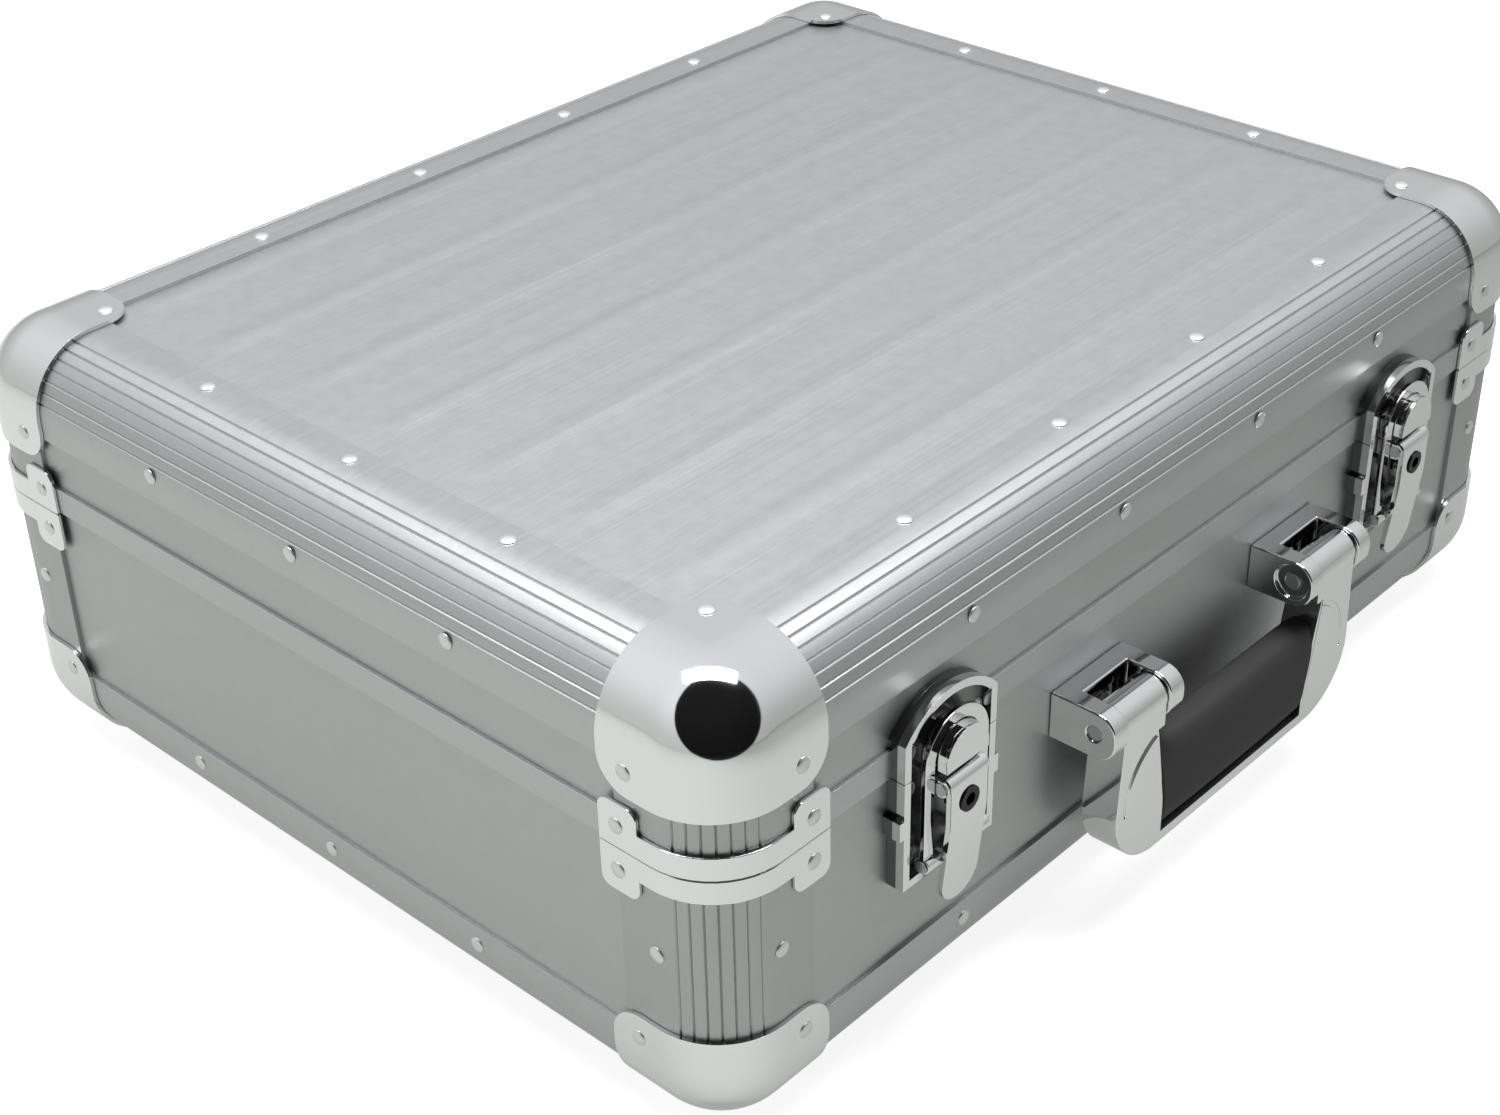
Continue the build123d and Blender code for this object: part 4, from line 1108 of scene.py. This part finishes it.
@dataclass(frozen=True)
class Interior:
    """Waved lid foam, floor pad, dividers and feet, with sizes in millimetres."""

    pitch: float = 22.0
    wave: float = 2.6
    step: float = 3.4
    rim: float = 8.0
    pad_edge: float = 0.8

    def lid_foam(self) -> bpy.types.Object:
        """Make the lid pad with its waved underside.

        Returns:
            The object.
        """
        low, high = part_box("lid_foam_pad")
        across = round((high.x - low.x) / (self.step * MM))
        along = round((high.y - low.y) / (self.step * MM))
        wave = 2 * math.pi / (self.pitch * MM)
        rows, tops = [], []
        for i in range(across + 1):
            x = low.x + (high.x - low.x) * i / across
            row, top = [], []
            for j in range(along + 1):
                y = low.y + (high.y - low.y) * j / along
                inside = min(x - low.x, high.x - x, y - low.y, high.y - y)
                fade = min(1.0, inside / (self.rim * MM))
                dip = 0.5 + 0.5 * math.sin(wave * x) * math.sin(wave * y)
                row.append(Vector((x, y, low.z + self.wave * MM * dip * fade)))
                top.append(Vector((x, y, high.z)))
            rows.append(row)
            tops.append(top)
        mesh = Mesh()
        mesh.grid(rows)
        mesh.grid([tops[0], rows[0]])
        mesh.grid([rows[-1], tops[-1]])
        mesh.grid([[r[0] for r in rows], [t[0] for t in tops]])
        mesh.grid([[t[-1] for t in tops], [r[-1] for r in rows]])
        outline = tops[0] + [row[-1] for row in tops[1:]] + tops[-1][-2::-1]
        outline += [row[0] for row in tops[-2:0:-1]]
        start = len(mesh.verts)
        mesh.verts.extend(outline)
        mesh.faces.append(tuple(range(start, start + len(outline))))
        made = mesh.make("lid_foam", Paint.FOAM, "lid")
        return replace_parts(made, "lid_foam_pad")

    def floor_pad(self) -> bpy.types.Object:
        """Make the floor pad with soft edges.

        Returns:
            The object.
        """
        low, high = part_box("base_floor_pad")
        edges = [(y, z) for y in (low.y, high.y) for z in (low.z, high.z)]
        corners = [[Vector((x, y, z)) for x in (low.x, high.x)] for y, z in edges]
        mesh = Mesh()
        mesh.grid([corners[0], corners[1], corners[3], corners[2], corners[0]])
        for end in (0, 1):
            start = len(mesh.verts)
            mesh.verts.extend([corners[i][end] for i in (0, 1, 3, 2)])
            mesh.faces.append(tuple(range(start, start + 4)))
        made = mesh.make("floor_pad", Paint.FOAM, "base")
        soften(made, self.pad_edge, segments=4)
        settle(made)
        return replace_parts(made, "base_floor_pad")

    def build(self) -> list[bpy.types.Object]:
        """Dress the inside and the feet.

        Returns:
            The pieces.
        """
        return [
            dress("row_dividers", Paint.DIVIDER, Dress.CASTING),
            dress("divider_runners", Paint.DIVIDER, Dress.FITTING),
            dress("feet", Paint.FOOT, Dress.CASTING, 60),
            self.lid_foam(),
            self.floor_pad(),
        ]


# Studio


@dataclass(frozen=True)
class Shot:
    """Camera of the photograph: place from the case's top middle in millimetres, then its lens."""

    x: float = -608.436
    y: float = -553.122
    rise: float = 385.389
    azimuth: float = -47.103
    elevation: float = 32.531
    roll: float = -1.161
    lens: float = 57.70
    shift_x: float = -0.00827
    shift_y: float = 0.00294


@dataclass(frozen=True)
class Studio:
    """Camera, pale floor, a white tent with one dark opening, and a soft light overhead."""

    shot: Shot = Shot()
    opening_side: Triple = (-0.421, -0.636, 0.643)
    opening_edge: tuple[float, float] = (0.58, 0.61)
    opening_depth: float = 0.985
    floor_half: float = 4.0
    floor_seen: float = 0.85
    paper: Triple = (0.26, 0.27, 0.255)
    paper_tint: Triple = (0.98, 1.0, 0.96)
    paper_glow: float = 0.395
    dim_side: Triple = (0.7, -0.7, 0.0)
    dim_edge: tuple[float, float] = (-0.2, 0.6)
    dim_share: float = 0.42
    tent_low: float = 0.46
    tent_rise: float = 0.36
    tent_side: float = 0.16
    light_height: float = 2.4
    light_size: tuple[float, float] = (2.4, 0.7)
    light_power: float = 86.0

    def camera(self) -> bpy.types.Object:
        """Add the camera of the photograph.

        Returns:
            The camera.
        """
        shot = self.shot
        data = bpy.data.cameras.new("camera")
        data.sensor_width = 36
        data.lens = shot.lens
        data.shift_x = shot.shift_x
        data.shift_y = shot.shift_y
        data.clip_start = 0.01
        data.clip_end = 50
        made = place_object("camera", data)
        a, e, r = (math.radians(v) for v in (shot.azimuth, shot.elevation, shot.roll))
        back = Vector((math.sin(a) * math.cos(e), -math.cos(a) * math.cos(e), math.sin(e)))
        right = (-back).cross(Vector((0, 0, 1))).normalized()
        up = right.cross(-back)
        turned = math.cos(r) * right + math.sin(r) * up
        above = math.cos(r) * up - math.sin(r) * right
        case = case_centre()
        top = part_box("lid_edge_extrusions")[1].z
        place = Vector((shot.x * MM, shot.y * MM + case.y, shot.rise * MM + top))
        facing = Matrix((turned, above, back)).transposed().to_4x4()
        made.matrix_world = Matrix.Translation(place) @ facing
        bpy.context.scene.camera = made
        return made

    def opening(self, graph: Graph, direction: Sock) -> Sock:
        """Dark opening of the white tent, through which the photograph is taken.

        Args:
            graph: Graph to add the nodes to.
            direction: Direction in which a reflection looks.

        Returns:
            1 inside the opening and 0 outside it.
        """
        inputs = {0: graph.maths("NORMALIZE", {0: direction}), 1: self.opening_side}
        return graph.maths("DOT_PRODUCT", inputs, "Value").smooth(*self.opening_edge)

    def floor(self) -> bpy.types.Object:
        """Add the pale floor: white to the camera; to other rays a paper grey with a painted glow
        for the lit paper, a painted dark patch for the opening and painted shade on one side.

        Returns:
            The floor.
        """
        material = bpy.data.materials.new("floor")
        material.use_nodes = True
        graph = Graph(material.node_tree)
        pale = graph.node("ShaderNodeBsdfPrincipled", {
            "Base Color": rgba((0.35, 0.35, 0.35)),
            "Roughness": 0.9,
            "Emission Color": rgba((1.0, 1.0, 1.0)),
            "Emission Strength": self.floor_seen,
        })
        low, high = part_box("lid_edge_extrusions")
        coords = graph.node("ShaderNodeTexCoord", out="Object")
        direction = graph.maths("SUBTRACT", {0: coords, 1: (low.x, low.y, high.z)})
        # Painted shade: for reflections the floor is darkened towards the opening and on its dim
        # side.
        aside = graph.maths("DOT_PRODUCT", {0: coords, 1: self.dim_side}, "Value")
        lit = 1.0 - self.opening(graph, direction)
        lit = lit * (1.0 - aside.smooth(*self.dim_edge) * self.dim_share)
        # Painted light: to rays other than the camera's the floor glows, standing in for the lit
        # paper unaffected by shadows.
        grey = graph.node("ShaderNodeBsdfPrincipled", {
            "Base Color": graph.mix(lit, rgba((0.01, 0.01, 0.01)), rgba(self.paper)),
            "Roughness": 0.9,
            "Specular IOR Level": 0.0,
            "Emission Color": rgba(self.paper_tint),
            "Emission Strength": lit * self.paper_glow,
        })
        camera = graph.node("ShaderNodeLightPath", out="Is Camera Ray")
        both = graph.node("ShaderNodeMixShader", {0: camera, 1: grey, 2: pale})
        graph.node("ShaderNodeOutputMaterial", {"Surface": both})
        half = self.floor_half
        corners = [(-half, -half, 0), (half, -half, 0), (half, half, 0), (-half, half, 0)]
        mesh = bpy.data.meshes.new("floor")
        mesh.from_pydata(corners, [], [(0, 1, 2, 3)])
        mesh.materials.append(material)
        made = place_object("floor", mesh)
        return made

    def world(self) -> None:
        """Surround the case with white for the camera and a soft tent for reflections."""
        world = bpy.data.worlds.new("studio")
        bpy.context.scene.world = world
        world.use_nodes = True
        graph = Graph(world.node_tree)
        coords = graph.node("ShaderNodeTexCoord", out="Generated")
        height = graph.node("ShaderNodeSeparateXYZ", {0: coords}, out="Z")
        side = graph.node("ShaderNodeSeparateXYZ", {0: coords}, out="X")
        rise, lean = height.smooth(0.0, 0.85), side.smooth(0.6, -0.9)
        tent = rise * self.tent_rise + self.tent_low + lean * self.tent_side
        shade = tent * (1.0 - self.opening(graph, coords) * self.opening_depth)
        warm, cool = rgba((0.98, 1.0, 0.97)), rgba((0.99, 1.0, 1.03))
        tint = graph.mix(height.smooth(0.0, 0.7), warm, cool)
        camera = graph.node("ShaderNodeLightPath", out="Is Camera Ray")
        color = graph.mix(camera, tint, rgba((1.0, 1.0, 1.0)))
        strength = camera * (1.0 - shade) + shade
        light = graph.node("ShaderNodeBackground", {"Color": color, "Strength": strength})
        graph.node("ShaderNodeOutputWorld", {"Surface": light})

    def light(self) -> bpy.types.Object:
        """Add the soft light overhead, across the view.

        Returns:
            The light.
        """
        data = bpy.data.lights.new("overhead", "AREA")
        data.shape = "RECTANGLE"
        data.size, data.size_y = self.light_size
        data.energy = self.light_power
        made = place_object("overhead", data)
        made.location = (0.0, 0.0, self.light_height)
        made.rotation_euler = (0.0, 0.0, math.radians(self.shot.azimuth))
        return made

    def build(self) -> list[bpy.types.Object]:
        """Set up the whole studio.

        Returns:
            Its camera, floor and light.
        """
        bpy.context.scene.view_settings.view_transform = "Standard"
        self.world()
        return [self.camera(), self.floor(), self.light()]


def main() -> None:
    """Build the scene in order and report each piece."""
    logging.basicConfig(level=logging.INFO, format="%(name)s: %(message)s")
    steps = (Shell("base"), Shell("lid"), Latches(), Handle(), Hinges(), Interior(), Studio())
    for step in steps:
        for piece in step.build():
            LOG.info("%s: %s", type(step).__name__, piece.name)


if __name__ == "__main__":
    main()
